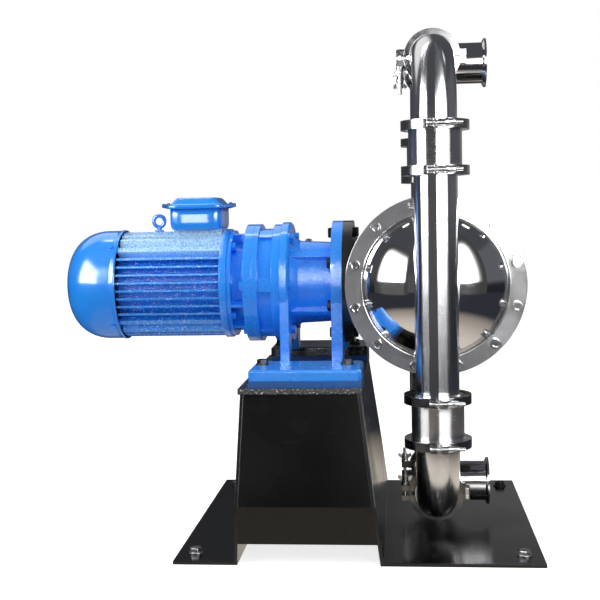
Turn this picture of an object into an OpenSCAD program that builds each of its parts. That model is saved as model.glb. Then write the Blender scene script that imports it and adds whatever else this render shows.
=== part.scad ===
// Sanitary electric diaphragm pump: a geared motor on a bent sheet pedestal drives two
// diaphragm chambers through a crank, with ball valves in clamped sanitary tube.
// X runs from the motor to the ports, the viewer's side is -Y, Z is up.
// The origin is the centre of the floor bolt pattern, on the floor.

/* [Base] */
// Length of the base along X
base_l = 640; // [600:5:700]
// Width of the base along Y
base_w = 590; // [560:5:640]
// Thickness of the pedestal sheet
sheet_t = 6; // [4:1:8]
// Height of the underside of the top plate
ped_h = 288; // [270:2:310]
// Width of the pedestal at its top, along Y
ped_top_w = 476; // [470:2:500]
// Outer face of the left wall at the floor
wall_left = -213; // [-220:1:-205]
// Outer face of the right wall at the floor
wall_right = 46; // [40:1:60]
// How far the left wall leans in up to the top plate
lean_left = 9; // [5:1:16]
// How far the right wall leans in up to the top plate
lean_right = 37; // [30:1:44]
// Height of the skirt's lower edge over the floor
skirt_gap = 37; // [25:1:50]
// Height of the bend line of the skirts
bend_h = 102; // [90:1:120]
// Thickness of the top plate
top_t = 10; // [8:1:12]
// Distance of the floor bolts along X
floor_sx = 576; // [560:2:590]
// Distance of the floor bolts along Y
floor_sy = 490; // [470:2:510]
// Diameter of the floor bolt holes
floor_hole_d = 14; // [13:0.5:16]

/* [Reducer] */
// Height of the shaft over the underside of the reducer's feet
shaft_h = 160; // [155:1:170]
// Thickness of the spacer plates under the feet
spacer_t = 13; // [10:1:16]
// Length of a foot along X
foot_l = 200; // [190:2:204]
// Width of a foot along Y
foot_w = 128; // [118:2:130]
// Thickness of a foot
foot_t = 19; // [16:1:22]
// Outer edge of the feet from the middle plane
foot_y = 236; // [230:1:237]
// Face of the output flange that carries the drive box
out_face = -28; // [-34:1:-22]
// Thickness of the output flange
out_flange_t = 21; // [16:1:24]
// Radius of the output flange
out_flange_r = 118; // [112:1:120]
// Length of the output housing between its flanges
house_l = 79; // [70:1:90]
// Radius of the output housing
house_r = 77; // [74:1:80]
// Thickness of the output housing's left flange
case_flange_t = 17; // [14:1:20]
// Radius of the reducer's body flanges
body_r = 114; // [110:1:118]
// Thickness of the pin gear case's right ring
ring_right_t = 16; // [12:1:20]
// Length of the pin gear case between its rings
pin_body_l = 26; // [24:1:32]
// Thickness of the pin gear case's left ring
ring_left_t = 10; // [8:1:14]
// Thickness of the ring of the input flange
ring_in_t = 17; // [14:1:20]
// Free length of the input flange between its ring and the motor
lantern_l = 33; // [28:1:40]
// Number of ring pins, one more than the reduction
ring_pins_n = 12; // [12:2:12]
// Radius of the circle of ring pins
ring_pin_pr = 80; // [78:0.5:82]
// Radius of a ring pin
ring_pin_r = 6; // [5.5:0.25:6.5]
// Eccentricity of the cycloid discs
disc_e = 3; // [2.5:0.25:3.25]
// Thickness of a cycloid disc
disc_t = 11; // [9:1:12]

/* [Motor] */
// Thickness of the motor flange
mot_flange_t = 13; // [10:1:15]
// Radius of the motor flange
mot_flange_r = 106; // [102:1:110]
// Length of the finned frame
frame_l = 198; // [190:1:210]
// Radius over the cooling fins
fin_r = 103; // [100:1:106]
// Distance between two fins
fin_pitch = 15; // [13:0.5:17]
// Thickness of a fin
fin_t = 4; // [3:0.5:5]
// Outer radius of the frame between the fins
shell_r = 84; // [82:1:88]
// Length of the fan cover
cover_l = 95; // [88:1:105]
// Radius of the fan cover
cover_r = 106; // [105:0.5:110]
// Radius of the motor shaft
mot_shaft_r = 14; // [12:0.5:16]
// Length of the terminal box
tbox_l = 121; // [110:1:130]
// Width of the terminal box
tbox_w = 104; // [96:1:112]
// Height of the terminal box
tbox_h = 44; // [38:1:52]
// Distance of the terminal box from the motor flange
tbox_gap = 2; // [1:1:8]

/* [Pump] */
// Distance of the pump's axis from the centre of the base
pump_x = 142; // [136:1:150]
// Distance of each manifold from the middle plane
man_y = 222; // [216:1:230]
// Outer diameter of the sanitary tube
tube_d = 76.1; // [73:0.1:78]
// Wall of the tube
tube_w = 2; // [1.5:0.1:2.5]
// Diameter of the large ferrules on the manifolds
ferrule_d = 106; // [105:0.5:108]
// Diameter of the small ferrules on tees and ports
port_ferrule_d = 91; // [90:0.5:93]
// Outer diameter of the valve housings
spool_d = 92; // [90:0.5:93]
// Height of the lower gasket of the upper valve over the axis
clamp_up = 201; // [196:1:206]
// Depth of the upper gasket of the lower valve under the axis
clamp_lo = 193; // [188:1:195]
// Length of a valve housing with one gasket
clamp_pitch = 77; // [74:1:90]
// Height of the outlet tee over the axis
outlet_h = 411; // [405:1:418]
// Depth of the inlet tee under the axis
inlet_h = 393; // [390:1:400]
// Centre line radius of the elbows
elbow_r = 114; // [108:1:116]
// Length of the ports from the pump's axis to their faces
port_l = 103; // [95:1:115]
// Distance of the chamber flange's rim from its bolt circle
chamber_edge = 13.5; // [12.5:0.5:16]
// Bolt circle of the chambers
chamber_pcd = 296; // [294:1:300]
// Number of bolts on a chamber
chamber_bolts_n = 12; // [8:4:12]
// Outer face of the chamber flanges from the middle plane
chamber_y = 170; // [166:1:174]
// Thickness of the chamber flanges
chamber_t = 12; // [10:1:14]
// Distance of the dome's foot from the bolt circle
dome_gap = 18; // [17:0.5:20]
// Height of the dome over its flange
dome_h = 70; // [64:1:76]
// Thickness of the diaphragms
dia_t = 3; // [2:0.5:4]
// Diameter of a valve ball
ball_d = 62; // [60:0.5:64]
// Lift of a valve ball
ball_lift = 12; // [8:1:13]
// Throw of the crank, half of the diaphragm stroke
crank_e = 10; // [8:1:11]

/* [Hidden] */
$fn = 96;

blue = [0.05, 0.33, 0.86];
navy = [0.06, 0.2, 0.5];
black = [0.05, 0.05, 0.06];
steel = [0.78, 0.79, 0.8];
polished = [0.88, 0.88, 0.89];
rubber = [0.93, 0.93, 0.92];

// Fits
run_gap = 0.05;
seat_gap = 0.2;
thread_gap = 0.25;

// Stations along the drive, from the output flange to the fan
plate_z = ped_h + top_t;
foot_z = plate_z + spacer_t;
axis_z = foot_z + shaft_h;
x_house = out_face - out_flange_t;
x_case = x_house - house_l;
x_ring3 = x_case - case_flange_t;
x_pins = x_ring3 - ring_right_t;
x_ring2 = x_pins - pin_body_l;
x_ring1 = x_ring2 - ring_left_t;
x_lantern = x_ring1 - ring_in_t;
x_mot = x_lantern - lantern_l;
x_frame = x_mot - mot_flange_t;
x_cover = x_frame - frame_l;
x_back = x_cover - cover_l;

// Base plate edges
lx = -base_l / 2;
rx = base_l / 2;
top_l = wall_left + lean_left - 4;
top_r = wall_right - lean_right + 1;
foot_x1 = top_r;
foot_x0 = foot_x1 - foot_l;
foot_in = foot_y - foot_w;

// Foot bolts
foot_bolt_x = [foot_x0 + 17, foot_x1 - 28];
foot_bolt_y = foot_y - 78;
foot_hole_r = 7;

// Reducer bolts
body_pcr = body_r - 13;
out_pcr = out_flange_r - 15;
mot_pcr = mot_flange_r - 14;
mot_bolt_a = [38, 128, 218, 308];
lantern_rib_a = [20, 112.5, 143.5, 200, 292.5, 323.5];
// The vent plug sits on the hidden side of the output housing
vent_a = -36;
mot_head = 16;

// Cycloid drive
disc_bore_r = 30;
out_pin_r = 7;
out_pin_pr = 48;
pin_case_r = ring_pin_pr + 2.5;
disc_a_x = x_ring1 + 6;
disc_b_x = disc_a_x + disc_t + 3;
carrier_x = disc_b_x + disc_t + 3;
carrier_t = 10;
carrier_r = 62;
shaft_r = 24;
bearing_r = 46;
bearing_w = 16;

// Motor
bore_r = 72;
stator_l = 130;
rotor_gap = 0.8;
rotor_r = 45;
mot_bearing_r = 30;
mot_bearing_w = 16;
stator_x = x_cover + 34;
spigot_r = 70;
fan_x = x_cover - 50;
fan_w = 34;
fan_r = cover_r - 14;
tbox_over = 18;
tbox_x1 = x_frame - tbox_gap + tbox_over;
tbox_x0 = tbox_x1 - tbox_l;
tbox_z = axis_z + mot_flange_r + 1;
lid_z = tbox_z + tbox_h;
eye_x = tbox_x0 - 27;
screw_n = 4;

// Pump
tube_r = tube_d / 2;
tube_ri = tube_r - tube_w;
ferrule_r = ferrule_d / 2;
port_ferrule_r = port_ferrule_d / 2;
spool_r = spool_d / 2;
gasket_t = 2;
rim_t = 4;
rim_cone = 3;
clamp_h = 16;
clamp_wall = 5.8;
z_up = axis_z + clamp_up;
z_lo = axis_z - clamp_lo;
z_up2 = z_up + clamp_pitch;
z_lo2 = z_lo - clamp_pitch;
z_out = axis_z + outlet_h;
z_in = axis_z - inlet_h;
tee_y = man_y - elbow_r - 12;
port_x = pump_x + port_l;
dia_y = chamber_y - chamber_t;
box_face = dia_y - dia_t;
box_flange_t = 14;
dome_t = 4;
chamber_r = chamber_pcd / 2 + chamber_edge;
dome_r = chamber_pcd / 2 - dome_gap;
dome_sr = (dome_r * dome_r + dome_h * dome_h) / (2 * dome_h);
dome_cy = chamber_y + dome_h - dome_sr;
pocket_r = dome_r - 0.5;
chamber_bolt_r = 6;
chamber_hole_r = 6.6;
plate_r = dome_r - 58;
plate_w = 6;
rod_r = 15;
mem_r = pocket_r - 1.5;
roll_out = 7;
roll_in = 4;
stroke_gap = crank_e + 2;

// Crank and yoke
crank_disc_r = 38;
crank_pin_r = 14;
block_y = 44;
block_z = 50;
block_x = 34;
yoke_x = 34;
win_y = block_y / 2 + 2 * crank_e + 1;
win_z = block_z / 2 + crank_e + 1;
yoke_wall = 13;
crank_web = 16;
crank_web_x = pump_x - yoke_x / 2 - 4 - crank_web;
crank_pin_z = axis_z - crank_e;

// Drive box
box_plate_t = 19;
box_half = 84;
box_x0 = out_face + box_plate_t;
box_x1 = pump_x + box_half;
box_wall = 10;
room = box_half - box_wall;

// Valves
seat_h = 8;
seat_r = 27;
ball_r = ball_d / 2;
ball_z = seat_h + sqrt(ball_r * ball_r - seat_r * seat_r) + seat_gap;
cage_z = ball_z + ball_r + ball_lift + seat_gap;
cage_t = 5;
spool_wall = 3;

// A cylinder along X, from x0 to x1, about the drive axis or a parallel one
module xcyl(x0, x1, r, y = 0, z = axis_z) {
  translate([x0, y, z])
    rotate([0, 90, 0])
      cylinder(h = x1 - x0, r = r);
}

module xcone(x0, x1, r0, r1) {
  translate([x0, 0, axis_z])
    rotate([0, 90, 0])
      cylinder(h = x1 - x0, r1 = r0, r2 = r1);
}

// A cylinder along Y, from y0 to y1
module ycyl(y0, y1, r, x = pump_x, z = axis_z) {
  translate([x, y0, z])
    rotate([-90, 0, 0])
      cylinder(h = y1 - y0, r = r);
}

module zcyl(z0, z1, r, x = 0, y = 0) {
  translate([x, y, z0])
    cylinder(h = z1 - z0, r = r);
}

module block(x0, x1, y0, y1, z0, z1) {
  translate([x0, y0, z0])
    cube([x1 - x0, y1 - y0, z1 - z0]);
}

// Copies about the drive axis
module around_x(n, a0 = 0) {
  for (i = [0 : n - 1])
    translate([0, 0, axis_z])
      rotate([a0 + i * 360 / n, 0, 0])
        translate([0, 0, -axis_z])
          children();
}

module turned_x(a) {
  translate([0, 0, axis_z])
    rotate([a, 0, 0])
      translate([0, 0, -axis_z])
        children();
}

module both_sides() {
  children();
  mirror([0, 1, 0]) children();
}

// A hexagon bolt head or nut along Z, with its underside at z = 0
module hex_head(d, h) {
  intersection() {
    cylinder(h = h, r = d / 2 / cos(30), $fn = 6);
    union() {
      cylinder(h = h - d * 0.06, r = d / 2 / cos(30));
      translate([0, 0, h - d * 0.06])
        cylinder(h = d * 0.06, r1 = d / 2 / cos(30), r2 = d / 2 * 0.98);
    }
  }
}

// Base

module side_profile(in) {
  polygon([
    [-base_w / 2 + in, 0],
    [base_w / 2 - in, 0],
    [base_w / 2 - in, bend_h],
    [ped_top_w / 2 - in, ped_h],
    [-ped_top_w / 2 + in, ped_h],
    [-base_w / 2 + in, bend_h]
  ]);
}

module wall_sheet(x_foot, lean, side) {
  intersection() {
    translate([-base_l, 0, 0])
      rotate([90, 0, 90])
        linear_extrude(height = 2 * base_l)
          side_profile(0);
    rotate([90, 0, 0])
      linear_extrude(height = 2 * base_w, center = true)
        polygon([
          [x_foot, 0],
          [x_foot + side * sheet_t, 0],
          [x_foot - lean + side * sheet_t, ped_h],
          [x_foot - lean, ped_h]
        ]);
  }
}

module foot_plate(x0, x1) {
  difference() {
    block(x0, x1, -base_w / 2, base_w / 2, 0, sheet_t);
    for (sx = [-1, 1], sy = [-1, 1])
      zcyl(-1, sheet_t + 1, floor_hole_d / 2, sx * floor_sx / 2, sy * floor_sy / 2);
    both_sides() zcyl(-1, sheet_t + 1, 6, pump_x - 9, -base_w / 2 + 40);
  }
}

module base_left() {
  color(black) {
    union() {
      wall_sheet(wall_left, -lean_left, 1);
      foot_plate(lx, wall_left + sheet_t);
    }
  }
}

module base_right() {
  color(black) {
    union() {
      wall_sheet(wall_right, lean_right, -1);
      foot_plate(wall_right - sheet_t, rx);
    }
  }
}

// The skirt fills the space between the walls, with a bend at bend_h
module skirt() {
  intersection() {
    translate([-base_l, 0, 0])
      rotate([90, 0, 90])
        linear_extrude(height = 2 * base_l)
          polygon([
            [-base_w / 2, skirt_gap],
            [-base_w / 2, bend_h],
            [-ped_top_w / 2, ped_h],
            [-ped_top_w / 2 + sheet_t, ped_h],
            [-base_w / 2 + sheet_t, bend_h],
            [-base_w / 2 + sheet_t, skirt_gap]
          ]);
    rotate([90, 0, 0])
      linear_extrude(height = 2 * base_w, center = true)
        polygon([
          [wall_left + sheet_t, 0],
          [wall_right - sheet_t, 0],
          [wall_right - lean_right - sheet_t, ped_h],
          [wall_left + lean_left + sheet_t, ped_h]
        ]);
  }
}

module front_skirt() {
  color(black) skirt();
}

module rear_skirt() {
  color(black) mirror([0, 1, 0]) skirt();
}

module foot_holes(z0, z1, r = foot_hole_r) {
  for (x = foot_bolt_x, s = [-1, 1])
    zcyl(z0, z1, r, x, s * foot_bolt_y);
}

module top_plate() {
  color(black)
    difference() {
      block(top_l, top_r, -ped_top_w / 2 - 2, ped_top_w / 2 + 2, ped_h, plate_z);
      foot_holes(ped_h - 1, plate_z + 1);
    }
}

module foot_spacers() {
  color(navy)
    both_sides()
      difference() {
        block(foot_x0 + 1, foot_x1, -foot_y, -foot_in, plate_z, foot_z);
        foot_holes(plate_z - 1, foot_z + 1);
      }
}

module foot_bolts() {
  color(black)
    for (x = foot_bolt_x, s = [-1, 1])
      translate([x, s * foot_bolt_y, 0]) {
        translate([0, 0, foot_z + foot_t]) cylinder(h = 2.5, r = 12);
        translate([0, 0, foot_z + foot_t + 2.5]) rotate([0, 0, 20]) hex_head(18, 7.5);
        zcyl(ped_h - 14, foot_z + foot_t, 6);
        translate([0, 0, ped_h - 10]) hex_head(18, 10);
      }
}

// Reducer

// One foot with rounded corners and chamfered upper edge
module foot_pad() {
  c = 10;
  difference() {
    hull() {
      for (x = [foot_x0 + c, foot_x1 - c], y = [-foot_y + c, -foot_in - c]) {
        zcyl(foot_z, foot_z + foot_t - 3, c, x, y);
        zcyl(foot_z, foot_z + foot_t, c - 3, x, y);
      }
    }
    for (x = foot_bolt_x)
      zcyl(foot_z - 1, foot_z + foot_t + 1, foot_hole_r, x, -foot_bolt_y);
  }
}

// A transverse web from the feet up to the housing, open under the housing
module leg_web(x0, x1, r) {
  leg_y = foot_in + 5;
  difference() {
    block(x0, x1, -leg_y, leg_y, foot_z + foot_t - 1, axis_z);
    xcyl(x0 - 1, x1 + 1, r - 6);
    translate([x0 - 1, 0, 0])
      rotate([90, 0, 90])
        linear_extrude(height = x1 - x0 + 2)
          polygon([
            [-foot_in + 20, foot_z],
            [foot_in - 20, foot_z],
            [foot_in - 52, axis_z - house_r - 14],
            [-foot_in + 52, axis_z - house_r - 14]
          ]);
  }
}

module reducer_case() {
  color(blue)
    difference() {
      union() {
        both_sides() foot_pad();
        leg_web(x_ring3, x_case, body_r - 10);
        leg_web(x_house, out_face, out_flange_r - 10);
        xcyl(x_ring3, x_case - 4, body_r + 3);
        xcone(x_case - 4, x_case, body_r + 3, body_r - 1);
        xcyl(x_house, out_face, out_flange_r);
        // Housing with a fillet-like cone at its root
        xcone(x_case - 0.1, x_case + 16, house_r + 13, house_r + 3);
        xcone(x_case + 16, x_house + 0.1, house_r + 3, house_r);
        // Ribs along the housing
        for (a = [52, 128, 232, 308])
          turned_x(a)
            block(x_case - 0.1, x_house + 0.1, -5, 5, axis_z + 60, axis_z + house_r + 13);
        // Boss of the vent plug
        turned_x(vent_a) zcyl(axis_z, axis_z + house_r + 8, 15, x_case + 26, 0);
      }
      // Shaft and bearings
      xcyl(x_ring3 - 1, out_face + 1, bearing_r);
      xcyl(x_ring3 - 1, x_ring3 + 4, carrier_r + 3);
      turned_x(vent_a)
        zcyl(axis_z + bearing_r + 8, axis_z + house_r + 20, 6, x_case + 26, 0);
      around_x(6, 30)
        xcyl(x_ring3 - 1, x_case + 1, 5.5, 0, axis_z + body_pcr);
      around_x(8, 22.5)
        xcyl(x_house - 1, out_face + 1, 6.5, 0, axis_z + out_pcr);
    }
}

module pin_gear_case() {
  color(blue)
    difference() {
      union() {
        xcyl(x_ring1, x_ring2, body_r);
        xcyl(x_ring2 - 0.1, x_pins + 0.1, body_r - 9);
        xcyl(x_pins, x_ring3, body_r - 1);
        // Lugs of the through bolts between the rings
        around_x(6, 30)
          intersection() {
            xcyl(x_ring2 - 0.1, x_pins + 0.1, body_r - 3);
            block(x_ring2 - 0.1, x_pins + 0.1, -12, 12, axis_z + 86, axis_z + body_r);
          }
      }
      xcyl(x_ring1 - 1, x_ring3 + 1, pin_case_r);
      around_x(ring_pins_n)
        xcyl(x_ring1 - 1, x_ring3 + 1, ring_pin_r + run_gap, 0, axis_z + ring_pin_pr);
      around_x(6, 30)
        xcyl(x_ring1 - 1, x_ring3 + 1, 5.5, 0, axis_z + body_pcr);
    }
}

module ring_pins() {
  color(steel)
    around_x(ring_pins_n)
      xcyl(x_ring1 + 2, x_ring3 - 2, ring_pin_r, 0, axis_z + ring_pin_pr);
}

face_t = 8;

// The input flange: a ring, an inner tube, the motor face and ribs that bound the bolt pockets
module input_flange() {
  tube = 82;
  color(blue)
    difference() {
      union() {
        xcyl(x_lantern, x_ring1, body_r);
        xcyl(x_mot, x_lantern + 0.1, tube);
        xcyl(x_mot, x_mot + face_t, mot_flange_r - 3);
        for (a = lantern_rib_a)
          turned_x(a)
            block(x_mot, x_lantern + 0.1, -2.5, 2.5, axis_z + tube - 4, axis_z + mot_flange_r - 4);
      }
      xcyl(x_mot - 1, x_ring1 - 8, spigot_r);
      xcyl(x_ring1 - 9, x_ring1 + 1, mot_bearing_r + 12);
      around_x(6, 30)
        xcyl(x_lantern - 1, x_ring1 + 1, 5.5, 0, axis_z + body_pcr);
      for (b = mot_bolt_a)
        turned_x(b) xcyl(x_mot - 1, x_mot + face_t + 1, 5.5, 0, axis_z + mot_pcr);
    }
}

module x_bolt(x0, x1, r, head, y = 0, z = axis_z) {
  xcyl(x0, x1, r, y, z);
  translate([x0, y, z]) rotate([0, -90, 0]) hex_head(head, head * 0.42);
  translate([x1, y, z]) rotate([0, 90, 0]) hex_head(head, head * 0.42);
}

module case_bolts() {
  color(blue)
    around_x(6, 30)
      x_bolt(x_lantern, x_case, 5, 16, 0, axis_z + body_pcr);
}

module breather() {
  color(steel)
    turned_x(vent_a)
      translate([x_case + 26, 0, axis_z + house_r + 8])
        difference() {
          union() {
            hex_head(20, 7);
            translate([0, 0, 7]) cylinder(h = 6, r = 7);
            translate([0, 0, -16]) cylinder(h = 16.01, r = 5.8);
          }
          translate([0, 0, 9]) cylinder(h = 8, r = 2.5);
        }
}

// Cycloid disc outline for the ring pins, shrunk by the running gap
function disc_psi(p) =
  atan2(
    sin((1 - ring_pins_n) * p),
    ring_pin_pr / (disc_e * ring_pins_n) - cos((1 - ring_pins_n) * p)
  );
function disc_pt(p, rp) = [
  ring_pin_pr * cos(p) - rp * cos(p + disc_psi(p)) - disc_e * cos(ring_pins_n * p),
  -ring_pin_pr * sin(p) + rp * sin(p + disc_psi(p)) + disc_e * sin(ring_pins_n * p)
];
disc_steps = (ring_pins_n - 1) * 14;

// The disc lies with its centre on the eccentric, towards -X of its own drawing
module cycloid_outline() {
  polygon([
    for (i = [0 : disc_steps - 1])
      disc_pt(i * 360 / disc_steps, ring_pin_r + 0.2)
  ]);
}

module cycloid_disc(x0) {
  translate([x0, 0, axis_z])
    rotate([0, 90, 0])
      translate([disc_e, 0, 0])
        difference() {
          linear_extrude(height = disc_t)
            cycloid_outline();
          translate([0, 0, -1]) cylinder(h = disc_t + 2, r = disc_bore_r + run_gap);
          for (i = [0 : 7])
            rotate([0, 0, i * 45])
              translate([out_pin_pr, 0, -1])
                cylinder(h = disc_t + 2, r = out_pin_r + disc_e + 0.15);
        }
}

module cycloid_disc_a() {
  color(steel) cycloid_disc(disc_a_x);
}

module cycloid_disc_b() {
  color(steel)
    translate([0, 0, axis_z])
      rotate([180, 0, 0])
        translate([0, 0, -axis_z])
          cycloid_disc(disc_b_x);
}

module crank() {
  color(steel)
    union() {
      around_x(8)
        xcyl(disc_a_x - 1, carrier_x + 1, out_pin_r, 0, axis_z + out_pin_pr);
      xcyl(carrier_x, carrier_x + carrier_t, carrier_r);
      xcyl(carrier_x + carrier_t - 1, crank_web_x + 1, shaft_r);
      hull() {
        xcyl(crank_web_x, crank_web_x + crank_web, crank_disc_r - 8);
        xcyl(crank_web_x, crank_web_x + crank_web, 24, 0, crank_pin_z);
      }
      xcyl(crank_web_x + crank_web - 1, pump_x + yoke_x / 2 + 4, crank_pin_r, 0, crank_pin_z);
    }
}

module slide_block() {
  color(steel)
    difference() {
      translate([pump_x - block_x / 2, -block_y / 2, crank_pin_z - block_z / 2])
        cube([block_x, block_y, block_z]);
      xcyl(pump_x - 40, pump_x + 40, crank_pin_r + run_gap, 0, crank_pin_z);
    }
}

// Motor

module motor_shell() {
  color(blue)
    difference() {
      union() {
        xcyl(x_frame, x_mot, mot_flange_r);
        xcyl(x_mot - 1, x_mot + 4, spigot_r - run_gap);
        xcyl(x_frame - 12, x_frame + 1, bore_r - 0.1);
      }
      xcyl(x_frame - 13, x_mot + 5, mot_shaft_r + 3);
      xcyl(x_frame - 13, x_frame - 12 + mot_bearing_w, mot_bearing_r);
      for (b = mot_bolt_a)
        turned_x(b) xcyl(x_frame - 1, x_mot + 1, 5.5, 0, axis_z + mot_pcr);
    }
}

// Fins lie level on both sides and stand upright on top and bottom
module fin_section() {
  side_n = 4;
  difference() {
    union() {
      circle(r = shell_r);
      intersection() {
        circle(r = fin_r);
        union() {
          for (k = [-side_n : side_n - 1])
            translate([-fin_r, (k + 0.5) * fin_pitch - fin_t / 2])
              square([2 * fin_r, fin_t]);
          for (k = [-side_n : side_n - 1])
            translate([(k + 0.5) * fin_pitch - fin_t / 2, -fin_r])
              square([fin_t, 2 * fin_r]);
          for (a = [45, 135, 225, 315])
            rotate(a)
              translate([0, -fin_t * 1.4])
                square([fin_r - 4, fin_t * 2.8]);
        }
      }
    }
    circle(r = bore_r);
  }
}

module motor_frame() {
  color(blue)
    difference() {
      union() {
        translate([x_cover, 0, axis_z])
          rotate([90, 0, 90])
            linear_extrude(height = frame_l)
              fin_section();
        // Seat of the terminal box
        difference() {
          hull() {
            block(tbox_x0 + 10, tbox_x1 - tbox_over, -40, 40, tbox_z - 1, tbox_z);
            block(tbox_x0 + 4, tbox_x1 - tbox_over, -46, 46, axis_z + 76, axis_z + 77);
          }
          xcyl(x_cover - 1, x_frame + 1, bore_r + 1);
          block(tbox_x0 + 26, tbox_x1 - 30, -24, 24, axis_z + 60, tbox_z + 1);
        }
        // Boss of the lifting eye
        zcyl(axis_z + bore_r + 4, axis_z + fin_r, 9, eye_x, 0);
      }
      zcyl(axis_z + bore_r + 8, axis_z + fin_r + 1, 4.1, eye_x, 0);
      block(tbox_x0 + 26, tbox_x1 - 30, -24, 24, axis_z + bore_r - 2, tbox_z + 1);
    }
}

module stator_core() {
  color([0.45, 0.42, 0.4])
    difference() {
      union() {
        xcyl(stator_x, stator_x + stator_l, bore_r);
        xcyl(stator_x - 16, stator_x + 1, bore_r - 6);
        xcyl(stator_x + stator_l - 1, stator_x + stator_l + 10, bore_r - 6);
      }
      xcyl(stator_x - 20, stator_x + stator_l + 20, rotor_r + rotor_gap);
    }
}

module rotor() {
  color(steel)
    union() {
      xcyl(x_back + 26, carrier_x - 1, mot_shaft_r);
      xcyl(stator_x, stator_x + stator_l, rotor_r);
      // Eccentrics with their roller bearings
      xcyl(disc_a_x, disc_a_x + disc_t, disc_bore_r, 0, axis_z - disc_e);
      xcyl(disc_b_x, disc_b_x + disc_t, disc_bore_r, 0, axis_z + disc_e);
    }
}

module fan() {
  color(black)
    difference() {
      union() {
        xcyl(fan_x, fan_x + fan_w, 26);
        xcyl(fan_x + fan_w - 4, fan_x + fan_w, fan_r - 12);
        around_x(6)
          block(fan_x, fan_x + fan_w - 1, -2, 2, axis_z + 20, axis_z + fan_r);
      }
      xcyl(fan_x - 1, fan_x + fan_w + 1, mot_shaft_r);
    }
}

// The cap narrows to the grille in a quarter of an ellipse
cap_r = 48;
cap_l = 60;
cover_t = 2;
module cover_profile(off) {
  polygon(concat(
    [[0, off]],
    [for (i = [0 : 10 : 90]) [max(cap_r + (cover_r - cap_r) * sin(i) - off, 1),
      off + cap_l * (1 - cos(i)) * (1 - off / cap_l)]],
    [[cover_r - off, cover_l + (off > 0 ? 1 : 0)], [0, cover_l + (off > 0 ? 1 : 0)]]
  ));
}

module fan_cover() {
  color(blue)
    translate([x_back, 0, axis_z])
      rotate([0, 90, 0])
        difference() {
          rotate_extrude() cover_profile(0);
          rotate_extrude() cover_profile(cover_t);
          // Air inlet: ring slots between radial bars
          difference() {
            for (r = [12 : 8 : 44])
              difference() {
                translate([0, 0, -1]) cylinder(h = 6, r = r + 4);
                translate([0, 0, -2]) cylinder(h = 8, r = r);
              }
            for (a = [0 : 45 : 315])
              rotate([0, 0, a])
                translate([0, -1.5, -3])
                  cube([60, 3, 10]);
          }
          for (i = [0 : screw_n - 1])
            rotate([0, 0, 45 + i * 90])
              translate([cover_r - 6, 0, cover_l - 14])
                rotate([0, 90, 0])
                  cylinder(h = 12, r = 2.6);
        }
}

module fan_screws() {
  color(blue)
    around_x(screw_n, 45)
      translate([x_cover - 14, 0, axis_z + cover_r]) {
        cylinder(h = 3, r = 5);
        translate([0, 0, -9]) cylinder(h = 9, r = 2.5);
      }
  // Lugs that carry the screws on the inside of the cover
  color(blue)
    around_x(screw_n, 45)
      difference() {
        block(x_cover - 22, x_cover, -7, 7, axis_z + cover_r - cover_t - 8, axis_z + cover_r - cover_t - 0.4);
        translate([x_cover - 14, 0, axis_z + cover_r - 12]) cylinder(h = 12, r = 2.4);
      }
}

module eyebolt() {
  ring_r = 10.8;
  wire_r = 3.6;
  eye_z = axis_z + fin_r + 6 + ring_r + wire_r;
  color(blue)
    union() {
      translate([eye_x, 0, eye_z])
        rotate([90, 0, 0])
          rotate_extrude()
            translate([ring_r, 0])
              circle(r = wire_r);
      zcyl(axis_z + fin_r, axis_z + fin_r + 3, 8.5, eye_x, 0);
      zcyl(axis_z + fin_r + 2.5, eye_z - ring_r, 4.5, eye_x, 0);
      zcyl(axis_z + fin_r - 12, axis_z + fin_r + 1, 4, eye_x, 0);
    }
}

module rounded_plan(x0, x1, w, r) {
  hull()
    for (x = [x0 + r, x1 - r], y = [-w / 2 + r, w / 2 - r])
      translate([x, y]) circle(r = r, $fn = 32);
}

module terminal_box() {
  color(blue)
    difference() {
      hull() {
        translate([0, 0, tbox_z + 8])
          linear_extrude(height = tbox_h - 8)
            rounded_plan(tbox_x0, tbox_x1, tbox_w, 12);
        translate([0, 0, tbox_z])
          linear_extrude(height = 1)
            rounded_plan(tbox_x0 + 5, tbox_x1 - 5, tbox_w - 10, 12);
      }
      translate([0, 0, tbox_z + 6])
        linear_extrude(height = tbox_h)
          rounded_plan(tbox_x0 + 5, tbox_x1 - 5, tbox_w - 10, 8);
      block(tbox_x0 + 30, tbox_x1 - 34, -20, 20, tbox_z - 1, tbox_z + 8);
      // Cable entry on the hidden side
      translate([(tbox_x0 + tbox_x1) / 2, tbox_w / 2 - 8, tbox_z + 22])
        rotate([-90, 0, 0])
          cylinder(h = 10, r = 10);
    }
}

lid_ear = 11;
lid_flange_t = 4;
lid_rise = 17;
lid_screw_x = [tbox_x0 - lid_ear + 7, tbox_x1 + lid_ear - 7];

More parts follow.
